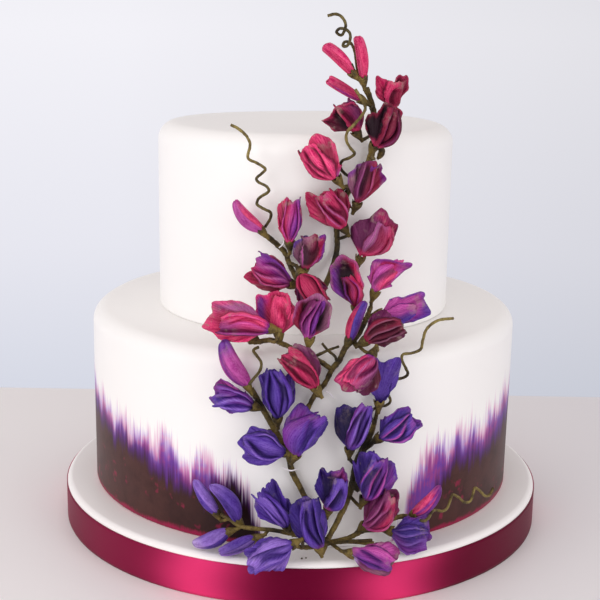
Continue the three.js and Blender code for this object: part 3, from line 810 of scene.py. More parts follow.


# %% [markdown]
# ## The planting rows
#
# One entry a flower, top to bottom. The first row places it: x, out, z, head, lift, turn, length, width,
# the sideways bow and the sideways lean of the tip. The second describes the standard and the third the
# wings, in the order their functions take them. A string of tints reads inner, left, right, edge and foot
# for the standard, and left, right, crest, groove and foot for the wings. The inner tint is partly the
# flower's colour and partly painted shade round the wings, the crest tint is a painted highlight, and the
# groove tint is partly dust and partly painted shade.

# %% Flower rows
FLOWERS = {
    "bloom_01": (
        (47, 8, 267.5, -3, 20, 10, 17, 17, 0, 0),
        (-18, -25, 0, 1.0, 0.1, 0, "wine pink crimson magenta pink", [(-48, 0.22, 17), (10, 0.1, 14),
         (64, 0.24, 15)]),
        (0.1, 0.62, 4.6, 0.0, 0.94, 3, 0.7, [(-0.1, -0.2, -0.15, 0.95, 0.34)],
         "pink crimson magenta wine rose")),
    "bloom_02": (
        (27.5, 10, 254.5, -34, 10, -10, 20, 19.5, 0, -0.05),
        (30, 40, 60, 0.6, 0.0, 0, "black wine plum magenta magenta", [(-75, 0.18, 16)]),
        (0.15, 0.62, 5.5, 0.02, 0.95, 0, 0.5, [(-0.3, -0.45, -0.3, 0.9, 0.3), (0.75, 0.7, 0.6, 0.6, -0.15)],
         "magenta plum crimson black magenta")),
    "bloom_03": (
        (37, 14, 247, 21, 10, 10, 24, 19, 0, 0),
        (-25, -45, 10, 1.0, 0.0, 0.1, "black black crimson crimson rose", [(70, 0.1, 11), (100, 0.12, 11)]),
        (0.05, 0.56, 5.5, 0.02, 1.0, 6, 0.45, [(-0.1, -0.35, -0.3, 0.75, 0.16),
         (0.2, 0.25, 0.2, 0.8, -0.18)], "crimson wine plum black magenta")),
    "bloom_04": (
        (17.5, 13.5, 229.5, -35, 5, -15, 25.5, 19, 0.05, 0.1),
        (-50, -50, 30, 0.5, 0.0, 0.14, "crimson crimson rose pink orchid", [(20, 0.14, 14), (-62, 0.16, 18),
         (104, -0.55, 36)]),
        (-0.12, 0.76, 4.2, 0.06, 1.0, -6, 0.75, [(-0.35, -0.55, -0.7, 0.8, 0.15),
         (-0.1, -0.12, -0.3, 0.9, 0.15), (0.15, 0.3, 0.15, 0.9, 0.15)], "magenta rose rose wine rose")),
    "bloom_05": (
        (28.5, 14, 215.5, 21, 10, 15, 26, 16.5, -0.05, -0.04),
        (-35, -15, 20, 0.8, 0.0, 0.1, "wine dusky crimson purple magenta", [(86, 0.2, 18), (-104, 0.12, 16)]),
        (-0.1, 0.62, 4.6, 0.08, 1.0, -6, 0.6, [(0.15, -0.2, -0.35, 0.95, 0.32),
         (0.5, 0.6, 0.2, 0.5, -0.12)], "plum crimson mauve black crimson")),
    "bloom_06": (
        (21.5, 10, 202, -34, 8, -5, 25, 21.5, 0, -0.03),
        (-40, -40, 0, 1.2, 0.05, 0.12, "crimson magenta crimson magenta crimson", [(-25, 0.12, 13),
         (-95, 0.15, 13), (50, -0.06, 15), (95, 0.1, 13)]),
        (0.05, 0.66, 5.2, 0.0, 0.95, -4, 0.55, [(0.0, -0.5, -0.55, 0.9, 0.2), (0.5, 0.15, -0.15, 0.8, 0.16),
         (0.85, 0.7, 0.3, 0.8, -0.2)], "magenta magenta mauve wine pink")),
    "bloom_07": (
        (31.5, 11, 184.5, 16, 0, -10, 27, 24, 0.08, 0.07),
        (-10, -30, 0, 0.8, -0.09, 0.08, "plum plum magenta plum pink", [(-40, -0.1, 22), (60, 0.05, 10)]),
        (0.05, 0.62, 4.8, 0.1, 0.85, 10, 0.3, [(-0.1, -0.25, -0.1, 0.95, 0.3), (0.45, 0.55, 0.3, 0.6, -0.1),
         (0.8, 0.85, 0.6, 0.5, -0.1)], "mauve magenta dusky crimson pink")),
    "bloom_08": (
        (-8, 9, 193, -2, 0, 0, 24.5, 13, 0, 0.02),
        (-60, -60, 0, 0.9, 0.0, 0.12, "wine magenta purple pink rose", []),
        (-0.05, 0.8, 4.5, 0.0, 1.0, 0, 0.7, [(-0.4, -0.55, -0.5, 0.85, 0.16), (0.1, 0.05, 0.0, 0.4, 0.08),
         (0.45, 0.5, 0.4, 0.85, -0.14)], "magenta purple orchid crimson rose")),
    "bloom_09": (
        (0, 8, 178.5, 10, 0, 0, 20, 16.5, 0, 0.07),
        (35, 35, 0, 0.7, 0.12, 0, "black dusky magenta violet orchid", [(40, 0.12, 12)]),
        (0.0, 0.62, 3.6, 0.0, 0.98, 0, 0.95, [(-0.2, -0.5, -0.6, 1.0, 0.34), (0.1, 0.6, 0.6, 1.0, -0.34)],
         "dusky crimson orchid black magenta")),
    "bloom_10": (
        (-7, 11, 172, -69, 5, 0, 23.5, 19, 0, 0.06),
        (-50, -50, 25, 0.6, 0.0, 0.14, "wine crimson plum magenta plum", [(-30, 0.1, 15)]),
        (0.05, 0.82, 4.8, 0.02, 0.98, 4, 0.6, [(-0.2, -0.6, -0.7, 0.85, 0.16), (0.1, -0.1, -0.4, 0.7, 0.14),
         (0.5, 0.35, 0.0, 0.9, 0.2)], "magenta purple mauve plum plum")),
    "bloom_11": (
        (39.5, 10, 167, 20, -12, 10, 23, 20, 0, 0.12),
        (20, 30, 85, 0.2, 0.0, 0, "magenta orchid orchid purple orchid", [(38, 0.16, 22), (-96, -0.34, 24),
         (92, -0.34, 26)]),
        (-0.05, 0.5, 2.2, 0.0, 0.95, 12, 0.5, [(-0.5, -0.1, 0.4, 0.8, 0.35)],
         "orchid rose orchid plum orchid")),
    "bloom_12": (
        (29, 12, 161, -11, -14, -10, 30, 17.5, -0.05, -0.07),
        (55, 50, 70, 0.2, 0.0, 0, "black purple pink mauve magenta", []),
        (-0.05, 0.55, 4.5, 0.02, 0.58, 6, 0.3, [(-0.4, -0.5, -0.3, 0.8, 0.2),
         (0.35, 0.35, 0.2, 0.7, -0.14)], "wine magenta purple black crimson")),
    "bloom_13": (
        (-1.5, 15.5, 177.5, 148, 34, 0, 22.5, 17, 0, 0),
        (-45, -45, 0, 1.0, 0.0, 0.12, "wine plum plum crimson magenta", [(40, 0.12, 14)]),
        (0.0, 0.76, 4.6, 0.02, 1.0, 0, 0.8, [(-0.3, -0.55, -0.6, 0.85, 0.16), (0.3, 0.45, 0.5, 0.85, 0.16)],
         "crimson magenta pink wine magenta")),
    "bloom_14": (
        (3.5, 15, 147.5, 6, -8, 0, 23.5, 20, 0, 0),
        (70, 65, 25, 0.4, 0.0, 0, "black crimson dusky mauve rose", []),
        (-0.12, 0.54, 6.0, 0.0, 0.92, 4, 0.35, [(-0.55, -0.5, -0.2, 0.7, 0.14),
         (0.1, 0.15, 0.1, 0.75, 0.12), (0.75, 0.75, 0.5, 0.9, -0.25)], "plum purple orchid wine orchid")),
    "bloom_15": (
        (-13, 10, 148.5, -12, -12, -10, 23.5, 21, 0, 0.07),
        (15, 60, 20, 0.8, 0.0, 0, "magenta purple rose pink wine", [(-50, 0.06, 14)]),
        (0.12, 0.74, 4.6, 0.0, 0.8, 6, 0.1, [(0.35, 0.1, 0.0, 0.75, 0.3)], "pink rose rose crimson magenta")),
    "bloom_16": (
        (-17.5, 21, 153, -81, 0, 10, 33.5, 21, 0, 0.04),
        (-12, -30, 0, 0.6, -0.05, 0.08, "magenta pink mauve rose rose", [(-35, 0.12, 12), (40, 0.04, 20)]),
        (-0.05, 0.66, 6.5, 0.0, 0.8, 0, 0.4, [(-0.4, -0.5, -0.3, 0.6, 0.16), (0.15, 0.15, 0.1, 0.55, 0.12),
         (0.5, 0.6, 0.45, 0.4, -0.1)], "plum rose orchid crimson purple")),
    "bloom_17": (
        (42.5, 8, 156.5, 78, 5, 10, 24, 22, 0, -0.06),
        (25, 20, 0, 0.5, -0.03, 0, "orchid orchid purple violet orchid", [(-34, 0.14, 15), (28, 0.1, 14),
         (-98, -0.36, 24), (95, -0.3, 26)]),
        (0.0, 0.5, 1.6, 0.02, 0.8, 0, 0.3, [(0.1, 0.1, 0.1, 0.5, 0.3)],
         "orchid violet orchid indigo magenta")),
    "bloom_18": (
        (33.5, 12.5, 145.5, 56, -5, 0, 22, 19, 0, 0.07),
        (-45, -45, 10, 0.7, 0.0, 0.12, "black plum wine plum plum", []),
        (0.0, 0.68, 5.0, 0.0, 1.0, 0, 0.35, [(-0.3, -0.55, -0.5, 1.0, 0.26), (0.3, 0.1, -0.15, 0.8, 0.14),
         (0.7, 0.6, 0.3, 0.8, -0.14)], "crimson wine dusky black crimson")),
    "bloom_19": (
        (37, 19, 140.5, -151, 28, 0, 23.5, 21, 0, 0.05),
        (-40, -35, 10, 0.5, 0.0, 0.12, "plum wine rose plum plum", [(60, 0.12, 14)]),
        (0.0, 0.66, 5.0, 0.0, 0.9, 0, 0.5, [(0.1, 0.4, 0.6, 0.95, 0.32), (-0.5, -0.3, 0.1, 0.8, 0.18)],
         "plum rose mauve plum purple")),
    "bloom_20": (
        (7.5, 10, 122.5, -34, -5, 0, 25.5, 17, 0.05, -0.02),
        (-55, -55, 15, 0.5, 0.0, 0.14, "wine crimson plum dusky magenta", []),
        (0.0, 0.84, 4.2, 0.02, 0.98, 0, 0.45, [(0.0, -0.5, -0.6, 0.9, 0.18), (0.35, 0.05, -0.25, 0.9, 0.16),
         (0.6, 0.5, 0.2, 0.8, -0.14)], "crimson magenta magenta wine magenta")),
    "bloom_21": (
        (-26, 8, 110.5, -70, 5, 0, 24, 16, 0, 0.05),
        (-50, -50, 0, 0.9, 0.05, 0.14, "violet lilac orchid purple night", [(-35, 0.08, 18),
         (-98, -0.25, 24), (98, -0.25, 24)]),
        (0.0, 0.82, 4.4, 0.02, 0.92, 0, 0.75, [(0.0, -0.45, -0.75, 0.8, 0.18), (0.5, 0.15, -0.2, 0.8, 0.16),
         (0.8, 0.6, 0.5, 0.6, -0.12)], "violet purple lilac indigo night")),
    "bloom_22": (
        (-13, 8, 104.5, -4, 5, 0, 28, 18, 0.05, -0.02),
        (-60, -60, 10, 1.1, 0.0, 0.14, "night indigo violet violet violet", []),
        (0.05, 0.8, 4.4, 0.04, 1.0, -3, 0.3, [(-0.1, -0.55, -0.5, 0.9, 0.17),
         (0.25, 0.1, -0.15, 0.85, 0.13), (0.6, 0.65, 0.3, 0.8, -0.13)], "indigo violet violet night indigo")),
    "bloom_23": (
        (-8, 10, 86, -78, 5, 0, 24.5, 20, 0, 0.04),
        (-45, -50, 10, 0.3, -0.12, 0.14, "indigo violet violet violet indigo", [(-75, 0.12, 22)]),
        (0.08, 0.74, 5.0, 0.02, 0.98, 0, 0.15, [(-0.5, -0.45, 0.0, 0.95, 0.24),
         (0.4, 0.6, 0.4, 0.8, -0.16)], "violet violet lilac night indigo")),
    "bloom_24": (
        (-2.5, 11, 85, 24, 10, 0, 30, 20, -0.1, -0.03),
        (-40, -45, 10, 0.5, 0.0, 0.1, "purple purple violet indigo plum", [(-70, 0.1, 20), (30, -0.05, 20)]),
        (0.05, 0.86, 4.6, 0.02, 0.94, 2, 0.1, [(0.3, 0.25, -0.2, 0.8, 0.16), (0.75, 0.7, 0.3, 0.8, -0.14),
         (-0.5, -0.6, -0.6, 0.3, 0.2)], "purple violet violet indigo purple")),
    "bloom_25": (
        (26.5, 10, 87.5, 2, 5, 0, 26.5, 18, 0, 0.03),
        (-50, -45, 0, 0.5, 0.0, 0.12, "night night violet indigo violet", [(-60, 0.12, 11), (60, 0.12, 11)]),
        (0.05, 0.68, 5.0, 0.0, 1.04, 8, 0.4, [(-0.7, -0.6, -0.1, 0.95, 0.24), (-0.35, 0.0, 0.2, 0.7, 0.12),
         (0.1, 0.5, 0.6, 0.9, -0.18)], "purple violet lilac night indigo")),
    "bloom_26": (
        (42, 8, 112.5, 2, 0, 180, 25, 18, 0, -0.07),
        (35, 35, 0, 0.5, 0.0, 0, "violet violet violet violet indigo", [(-45, 0.2, 18), (50, 0.16, 16),
         (0, -0.08, 14)]),
        (0.0, 0.6, 2.5, 0.0, 0.8, 0, 0.5, [(0.0, 0.0, 0.0, 0.5, 0.3)], "violet violet violet indigo indigo")),
    "bloom_27": (
        (42.5, 9, 92.5, 50, 5, 0, 23, 19, 0, 0.06),
        (-45, -45, 0, 1.0, 0.05, 0.12, "indigo violet violet purple indigo", [(-25, 0.12, 14),
         (52, 0.14, 14), (-98, -0.32, 26), (98, -0.32, 26)]),
        (0.0, 0.68, 4.4, 0.02, 0.95, 0, 0.75, [(0.3, -0.3, -0.6, 0.95, 0.2), (0.6, 0.2, -0.1, 0.85, 0.16),
         (0.9, 0.7, 0.5, 0.6, -0.12)], "violet violet orchid night indigo")),
    "bloom_28": (
        (15.5, 12, 54, 8, 10, 0, 29.5, 17.5, 0, -0.06),
        (-35, -20, 50, 1.3, 0.0, 0.12, "night indigo orchid indigo orchid", [(-35, 0.1, 10), (25, 0.1, 12)]),
        (-0.2, 0.62, 5.0, 0.05, 0.8, 20, 0.2, [(-0.1, -0.1, 0.0, 0.95, 0.35), (0.75, 0.8, 0.6, 0.8, 0.14)],
         "violet violet lilac night orchid")),
    "bloom_29": (
        (35, 13, 59.5, 19, 5, 0, 28.5, 22.5, 0.05, -0.07),
        (-40, -35, 10, 0.7, 0.0, 0.12, "indigo indigo purple violet crimson", [(-98, 0.35, 8)]),
        (0.05, 0.58, 5.4, 0.0, 0.95, 2, 0.25, [(-0.6, -0.55, -0.1, 1.0, 0.34),
         (-0.1, 0.15, 0.35, 0.75, 0.12), (0.4, 0.6, 0.7, 0.8, -0.16)], "violet purple orchid night plum")),
    "bloom_30": (
        (35.5, 11, 42.5, 43, 10, 0, 26, 18.5, 0, -0.07),
        (-50, -50, 0, 0.7, 0.0, 0.12, "wine plum crimson plum orchid", []),
        (0.0, 0.74, 4.8, 0.0, 1.0, 0, 0.4, [(-0.6, -0.45, -0.1, 0.9, 0.2), (-0.1, 0.15, 0.4, 0.9, 0.18),
         (0.5, 0.65, 0.7, 0.7, -0.14)], "plum magenta mauve plum orchid")),
    "bloom_31": (
        (51, 12, 38, 90, 10, 0, 20.5, 20, 0, 0.04),
        (-45, -50, 0, 0.5, -0.05, 0.14, "indigo violet violet purple lilac", [(60, 0.18, 12)]),
        (0.0, 0.86, 4.0, 0.0, 0.98, 0, 0.8, [(-0.5, -0.6, -0.6, 0.5, 0.12), (-0.15, -0.2, -0.2, 0.55, 0.12),
         (0.2, 0.25, 0.2, 0.5, 0.12), (0.6, 0.6, 0.55, 0.5, -0.12)], "indigo purple lilac indigo violet")),
    "bloom_32": (
        (28.5, 22, 32, 99, 8, 0, 24.5, 19.5, 0, -0.04),
        (-35, -50, 10, 0.6, 0.0, 0.14, "plum orchid dusky plum pale", [(-40, 0.1, 10), (70, 0.1, 16)]),
        (-0.25, 0.62, 5.0, 0.0, 0.92, 6, 0.6, [(-0.6, -0.1, -0.4, 0.9, 0.24), (0.5, 0.55, 0.3, 0.8, 0.2)],
         "orchid purple purple indigo mauve")),
    "bloom_33": (
        (10.5, 18, 34.5, -18, 5, 0, 30, 19.5, 0, -0.06),
        (-50, -50, 10, 0.5, 0.0, 0.14, "indigo indigo violet indigo violet", [(-60, 0.1, 10)]),
        (0.12, 0.68, 5.6, 0.0, 1.0, 4, 0.3, [(-0.75, -0.75, -0.5, 0.7, 0.2), (0.1, -0.1, -0.25, 0.95, 0.16),
         (0.6, 0.5, 0.1, 0.8, -0.16)], "violet indigo violet night purple")),
    "bloom_34": (
        (-6.5, 12, 43.5, -30, 5, 0, 27.5, 18, 0, -0.02),
        (-30, -30, 0, 1.45, 0.02, 0.12, "indigo violet indigo violet indigo", []),
        (-0.05, 0.56, 3.6, 0.04, 0.96, 0, 0.3, [(-0.35, -0.45, -0.3, 0.6, 0.14),
         (0.2, 0.25, 0.2, 0.75, 0.14)], "violet violet lilac night indigo")),
    "bloom_35": (
        (-3.5, 24, 39, -117, 10, 0, 25, 19.5, 0, 0.07),
        (-35, -45, 0, 1.0, 0.0, 0.12, "violet lilac violet violet violet", [(-20, 0.15, 14),
         (-70, -0.1, 12)]),
        (0.08, 0.72, 4.8, 0.0, 1.0, 4, 0.6, [(-0.6, -0.35, 0.0, 0.85, 0.2), (0.0, 0.4, 0.5, 0.85, -0.18)],
         "violet lilac lilac indigo violet")),
}

# %% [markdown]
# ## Petal paste
#
# The dusting is on the mesh as the attribute `tint`. The material breaks it up into fine grain and veins
# that run along the petal, lets the undusted paste show in worn patches towards the rim, and gives a soft,
# slightly velvety skin.

# %% Petal materials
PASTE_COLOUR = ink(160, 136, 128)


def petal_paste(name, sheen, worn):
    """Dusted sugar paste; `worn` is how far the patches without dust show."""
    material, shader = new_material(name, Roughness=0.55, Specular_IOR_Level=0.25, Sheen_Weight=0.07,
                                    Sheen_Roughness=0.45)
    shader.inputs["Sheen Tint"].default_value = (*sheen, 1)
    mix, sums, rising = bound_to(material)
    tint = attribute(material, "tint", "Color")
    uv = surface_uv(material)
    long_way = scaled(material, uv, (34.0, 3.0, 1.0))
    veins = noise(material, long_way, 1.0, 4.0, 0.6)
    place = object_place(material)
    grain = noise(material, place, 1100.0, 3.0)
    dark, light = (
        add_node(material, "HueSaturation", {"Color": tint}, Value=value, Saturation=depth).outputs["Color"]
        for value, depth in ((0.74, 1.06), (1.2, 0.94)))
    mixed = mix(rising(veins, 0.36, 0.66), dark, light)
    mixed = mix(rising(grain, 0.42, 0.70), mixed, mix(0.6, mixed, light))
    up_petal = part_of(material, uv, "Y")
    patches = noise(material, place, 150.0, 4.0, 0.65)
    bare = sums("MULTIPLY", rising(patches, 0.53, 0.66), rising(up_petal, 0.5, 0.95))
    mixed = mix(sums("MULTIPLY", bare, worn), mixed, PASTE_COLOUR)
    feed(material, shader, "Base Color", mixed)
    bump(material, shader, sums("ADD", veins, sums("MULTIPLY", grain, 0.35)), 0.35, 0.0004)
    return material


PASTE = {name: petal_paste(name, ink(*sheen), worn) for name, sheen, worn in (
    ("petals_magenta", (240, 130, 190), 0.6), ("petals_plum", (190, 110, 200), 0.45),
    ("petals_violet", (150, 120, 230), 0.2), ("petals_pink", (250, 150, 200), 0.1))}
PLUM = {"bloom_11", "bloom_17", "bloom_28", "bloom_29", "bloom_30", "bloom_31", "bloom_32", "bud_06"}
VIOLET = {"bloom_21", "bloom_22", "bloom_23", "bloom_24", "bloom_25", "bloom_26", "bloom_27", "bloom_33",
          "bloom_34", "bloom_35", "bud_08", "bud_09", "bud_10", "bud_11"}


def paste_of(name, fallback):
    """The slot and material that the flower's main colour belongs to."""
    return "petals_plum" if name in PLUM else "petals_violet" if name in VIOLET else fallback


def flesh(sheet, colours, u, v, thickness):
    """A part for gather: the shell of a sheet, its colours and its uv on both faces."""
    points, quads = shell(sheet, thickness)
    once = np.stack(np.broadcast_arrays(u, v), -1).reshape(-1, 2)
    skin = colours.reshape(-1, 3)
    return points, quads, [], np.concatenate([skin, skin * 0.9]), np.concatenate([once, once])


def bowed(axes, length, bow, lean, sheet):
    """The sheet pushed to one side by 4 t (1 - t) bow + t ** 2 lean, in lengths, with t from base to tip."""
    base, side, _, along = axes
    t = np.clip((sheet / MM - base) @ along / length, 0, 1)
    return sheet + side * length * MM * (4 * t * (1 - t) * bow + t ** 2 * lean)[..., None]


# %% Make the blooms
PETAL_THICK, BUD_THICK = 0.7 * MM, 0.6 * MM
for number, (name, (where, back, front)) in enumerate(FLOWERS.items()):
    axes = flower_axes(*where[:6])
    length, width, *sweep = where[6:]
    *shape, arch, tints, lobes = back
    seed = SEED["standard"] + number
    sheet, colours, u, v = standard(axes, length, width, *shape, arch, tints.split(), seed, lobes)
    parts = [flesh(bowed(axes, length, *sweep, sheet), colours, u, v, PETAL_THICK)]
    *shape, tints = front
    sheet, colours, p, q = wings(axes, length, width, *shape, tints.split(), arch, SEED["wings"] + number)
    parts.append(flesh(bowed(axes, length, *sweep, sheet), colours, p, q, PETAL_THICK))
    kind = paste_of(name, "petals_magenta")
    piece("petals_" + name, *gather(parts), PASTE[kind], stands_for=[name], slot=kind)
print("blooms:", len(FLOWERS))

# %% [markdown]
# ## Buds
#
# A bud is one petal rolled on itself: a blunt spindle with a seam down its front and, on some, a tip that
# flares open. A stretched sphere would be quicker, but it has no seam. The roll here is a spiral of a
# little over one turn, so the seam is the outer edge lying on the layer below.

# %% Buds
BUDS = {
    # name: (x, out, z, head, lift, turn, length, width, bow), seam in degrees, flare at the tip, and the
    # tints of the side, the side by the seam, the tip and the fold
    "bud_01": ((24.5, 7, 286, -47, 0, 0, 20.5, 8.5, 0.05), -10, 0.5, "pink rose rose magenta"),
    "bud_02": ((30.5, 8, 283, -9, 0, 0, 22, 7.5, 0.04), 15, 0.45, "rose pink rose magenta"),
    "bud_03": ((29.5, 10.5, 272, -59, 5, 0, 20.5, 7, 0), 10, 0.55, "pink magenta rose purple"),
    "bud_04": ((-24, 8, 199, -42, 0, 0, 21.5, 8.5, -0.1), -20, 0.0, "orchid rose orchid orchid"),
    "bud_05": ((25, 9, 145.5, 23, -14, 0, 22, 7.5, -0.05), 20, 0.0, "pink violet violet magenta"),
    "bud_06": ((-29.5, 9, 122.5, -28, 0, 0, 27, 11.5, -0.08), 15, 0.1, "orchid orchid violet purple"),
    "bud_07": ((63.5, 12, 46, 38, 5, 0, 22, 8, 0.08), -25, 0.0, "rose purple purple violet"),
    "bud_08": ((-46.5, 9, 46.5, -32, 0, 0, 22, 7.5, -0.03), 10, 0.0, "violet lilac lilac violet"),
    "bud_09": ((-34, 9, 44, -35, 5, 0, 25.5, 9.5, 0.1), 0, 0.0, "violet violet lilac indigo"),
    "bud_10": ((-39.5, 13, 38, -111, 0, 0, 20, 9.5, -0.08), 10, 0.0, "violet lilac pale indigo"),
    "bud_11": ((-24, 16, 37.5, -114, 0, 0, 21, 8.5, -0.03), -10, 0.1, "lilac violet lilac indigo"),
}


ROLLED = 1.22  # turns from the inner edge of the petal to its outer edge


def rolled_bud(axes, length, width, bow, seam, flare, tints, seed):
    """A spiral sheet: s runs round it while the radius grows by a sixth, and its profile along t is a sine of
    t raised to a power, which makes a spindle."""
    s, t = np.linspace(0, 1, 61)[:, None], np.linspace(0, 1, 33)[None, :]
    angle = np.radians(90 + seam) - 2 * np.pi * ROLLED * (1 - s) + 0.5 * (t - 0.5)
    spindle = np.sin(np.pi * np.clip(0.12 + 0.88 * t ** 0.9, 0, 1)) ** (0.75 - 0.42 * t)
    profile = spindle * (1 - flare) + flare * (0.35 + 0.65 * t)
    profile = np.maximum(profile, 0.09) * (0.86 + 0.14 * s)
    profile = profile * (1 + 0.05 * np.sin(3 * angle + 4 * t + seed) * t)
    half = width / 2
    side = half * profile * np.cos(angle) + bow * length * 4 * t * (1 - t)
    face = half * 0.85 * profile * np.sin(angle)
    along = length * (t + 0.02) + 0.4 * np.sin(2 * angle + seed) * t
    sheet = to_world(axes, side, face, along)
    body, by_seam, tip, fold = (DUST_AND_PAINTED_LIGHT[name] for name in tints)
    near = smooth_step(s, 0.55, 0.95)
    colours = blend(body, by_seam, near * np.ones_like(t))
    from_seam = np.cos(angle - np.radians(90 + seam))
    colours = blend(colours, fold, np.exp(-((from_seam - 0.86) / 0.12) ** 2) * (s < 0.8) * 0.85)
    colours = blend(colours, tip, smooth_step(t, 0.6, 0.98) * 0.8 * np.ones_like(s))
    return sheet, dusted(colours, s * 3, t, seed), s * 0.5, t


for number, (name, (where, seam, flare, tints)) in enumerate(BUDS.items()):
    axes = flower_axes(*where[:6])
    seed = SEED["bud"] + number
    sheet, colours, u, v = rolled_bud(axes, *where[6:], seam, flare, tints.split(), seed)
    kind = paste_of(name, "petals_pink")
    rolled = flesh(sheet, colours, u, v, BUD_THICK)
    piece("petals_" + name, *rolled, PASTE[kind], stands_for=[name], slot=kind)
print("buds:", len(BUDS))

# %% [markdown]
# ## Taped wires
#
# Each flower sits on a wire, and the wires are bound together with olive paper tape wound in a slanting
# spiral. A Blender curve with a bevel would draw a smooth hose. Here the tube is built from arrays, so the
# radius can carry the ridges of the tape and the lumps under it.

# %% Tubes along smooth curves
# Places where the tape is darker: x and z in mm, how far it spreads, and how dark it gets (1 is black).
DARK_TAPE = [
    (34, 78, 13, 0.85), (28, 62, 12, 0.6), (19, 200, 16, 0.55), (17, 183, 9, 0.5), (35, 268, 9, 0.45),
    (39, 250, 7, 0.5), (-10, 75, 10, 0.55), (-21, 104, 9, 0.45), (20, 131, 9, 0.5), (28, 146, 8, 0.6),
    (-15, 190, 7, 0.4), (12, 158, 8, 0.6), (39, 88, 5, 0.6), (36, 40, 7, 0.5), (-13, 40, 6, 0.85),
    (-36, 45, 6, 0.35),
]
DARKEST = 0.12
TAPE_SPAN = 40  # mm of wire in one unit of uv


def tape_shade(points, shade):
    """A grey factor for the tape's colour: `shade` times 1 less a bell at each dark place."""
    dark = 1 - sum(depth * np.exp(-((points[:, 0] - x) ** 2 + (points[:, 2] - z) ** 2) / spread ** 2)
                   for x, z, spread, depth in DARK_TAPE)
    return np.broadcast_to(np.clip(dark, DARKEST, 1)[:, None] * shade, (len(points), 3))


def smooth_path(points, per_span):
    """Centripetal Catmull-Rom curve through the points. Each round blends neighbours by how near t is to the
    knots of the pair, and the third round leaves one point for each t."""
    p = np.vstack([2 * points[0] - points[1], points, 2 * points[-1] - points[-2]])
    gaps = np.maximum(np.linalg.norm(np.diff(p, axis=0), axis=1), 1e-6)
    knot = np.concatenate([[0], np.cumsum(gaps ** 0.5)])
    spans = len(points) - 1
    f = np.linspace(0, spans, spans * per_span + 1)
    i = np.minimum(f.astype(int), spans - 1)
    t = (knot[i + 1] + (f - i) * (knot[i + 2] - knot[i + 1]))[:, None]
    k = [knot[i + n][:, None] for n in range(4)]
    q = [p[i + n] for n in range(4)]
    for pairs in ([(0, 1), (1, 2), (2, 3)], [(0, 2), (1, 3)], [(1, 2)]):
        q = [((k[b] - t) * q[n] + (t - k[a]) * q[n + 1]) / (k[b] - k[a]) for n, (a, b) in enumerate(pairs)]
    return q[0]


def steady_frames(path):
    """Two normals of a path that do not spin: a first guess square to a fixed direction, then the twist
    between neighbouring guesses is added up and taken off."""
    tangent = np.gradient(path, axis=0)
    tangent /= np.linalg.norm(tangent, axis=1, keepdims=True)
    fixed = np.array([0.31, -0.86, 0.41])
    normal = np.cross(tangent, fixed)
    normal /= np.linalg.norm(normal, axis=1, keepdims=True) + 1e-9
    binormal = np.cross(tangent, normal)
    twist = np.arctan2((normal[1:] * binormal[:-1]).sum(1), (normal[1:] * normal[:-1]).sum(1))
    angle = -np.concatenate([[0], np.cumsum(twist)])[:, None]
    cos, sin = np.cos(angle), np.sin(angle)
    return normal * cos + binormal * sin, binormal * cos - normal * sin


def closed_ends(points, rows, sides):
    """Quads of a closed tube of rows x sides points, turned outwards, and one cap for each end."""
    quads = grid_quads(rows, sides, closed=True)
    kept = facing_out(points, quads)
    first, last = list(range(sides)), list(range((rows - 1) * sides, rows * sides))
    return kept, [first[::-1], last] if kept[0, 0] == quads[0, 0] else [first, last[::-1]]


def along_path(values, count):
    """The few values spread evenly over `count` steps, with straight blends between them."""
    return np.interp(np.linspace(0, 1, count), np.linspace(0, 1, len(values)), values)


def taped_tube(points, radii, seed, sides=12, per_span=8, ridge=0.14, tape=3.2, shades=(1.0,)):
    """A part for gather. points and radii are in mm; the radius is multiplied by 1 plus a saw-tooth ridge
    that winds round once every `tape` mm, plus lumps."""
    path = smooth_path(np.asarray(points, float), per_span)
    normal, binormal = steady_frames(path)
    distance = np.concatenate([[0], np.cumsum(np.linalg.norm(np.diff(path, axis=0), axis=1))])[:, None]
    radius = along_path(radii, len(path))[:, None]
    angle = np.linspace(0, 2 * np.pi, sides, endpoint=False)[None, :]
    saw = (distance / tape + angle / (2 * np.pi)) % 1.0
    radius = radius * (1 + ridge * (saw - 0.5) + 0.10 * waves(distance * 0.8, np.sin(angle) * 1.5, seed))
    outwards = np.cos(angle)[..., None] * normal[:, None] + np.sin(angle)[..., None] * binormal[:, None]
    flat = (path[:, None] + radius[..., None] * outwards).reshape(-1, 3) * MM
    shade = np.repeat(along_path(shades, len(path)), sides)[:, None]
    u, v = np.broadcast_arrays(angle / (2 * np.pi), distance / TAPE_SPAN)
    quads, caps = closed_ends(flat, len(path), sides)
    return flat, quads, caps, tape_shade(flat / MM, shade), np.stack([u, v], -1).reshape(-1, 2)


def calyx(axes, reach, size, seed, sepals=5, points_out=1.5, sides=40):
    """The green cup under a flower: a flared cone from the wire, its rim cut into pointed sepals."""
    angle = np.linspace(0, 2 * np.pi, sides + 1)[:-1][None, :]
    t = np.linspace(0, 1, 13)[:, None]
    tips = 0.5 + 0.5 * np.cos(sepals * angle + seed)
    radius = 1.0 + (size - 1.0) * smooth_step(t, 0.1, 0.95) + 0.10 * np.sin(3 * angle + seed) * t
    radius = radius + 0.25 * tips * t ** 3
    along = -reach + (reach + 0.4) * t + points_out * tips ** 1.5 * t ** 3
    outer = np.stack(np.broadcast_arrays(radius * np.cos(angle), radius * np.sin(angle), along), -1)
    inner = outer[::-1] * [0.80, 0.80, 1.0] - [0, 0, 0.25]
    rings = np.concatenate([outer, inner[:-3]])
    points = to_world(axes, rings[..., 0], rings[..., 1], rings[..., 2]).reshape(-1, 3)
    u, v = np.broadcast_arrays(angle / (2 * np.pi), np.linspace(0, 0.3, len(rings))[:, None])
    quads, caps = closed_ends(points, len(rings), sides)
    return points, quads, caps, tape_shade(points / MM, 1.0), np.stack([u, v], -1).reshape(-1, 2)


# %% [markdown]
# ## The wires of the spray
#
# Runs are the bound stems and stalks branch off them to one flower each. Points are (x, out, z) in
# millimetres, and a run's second list is its radius from end to end.

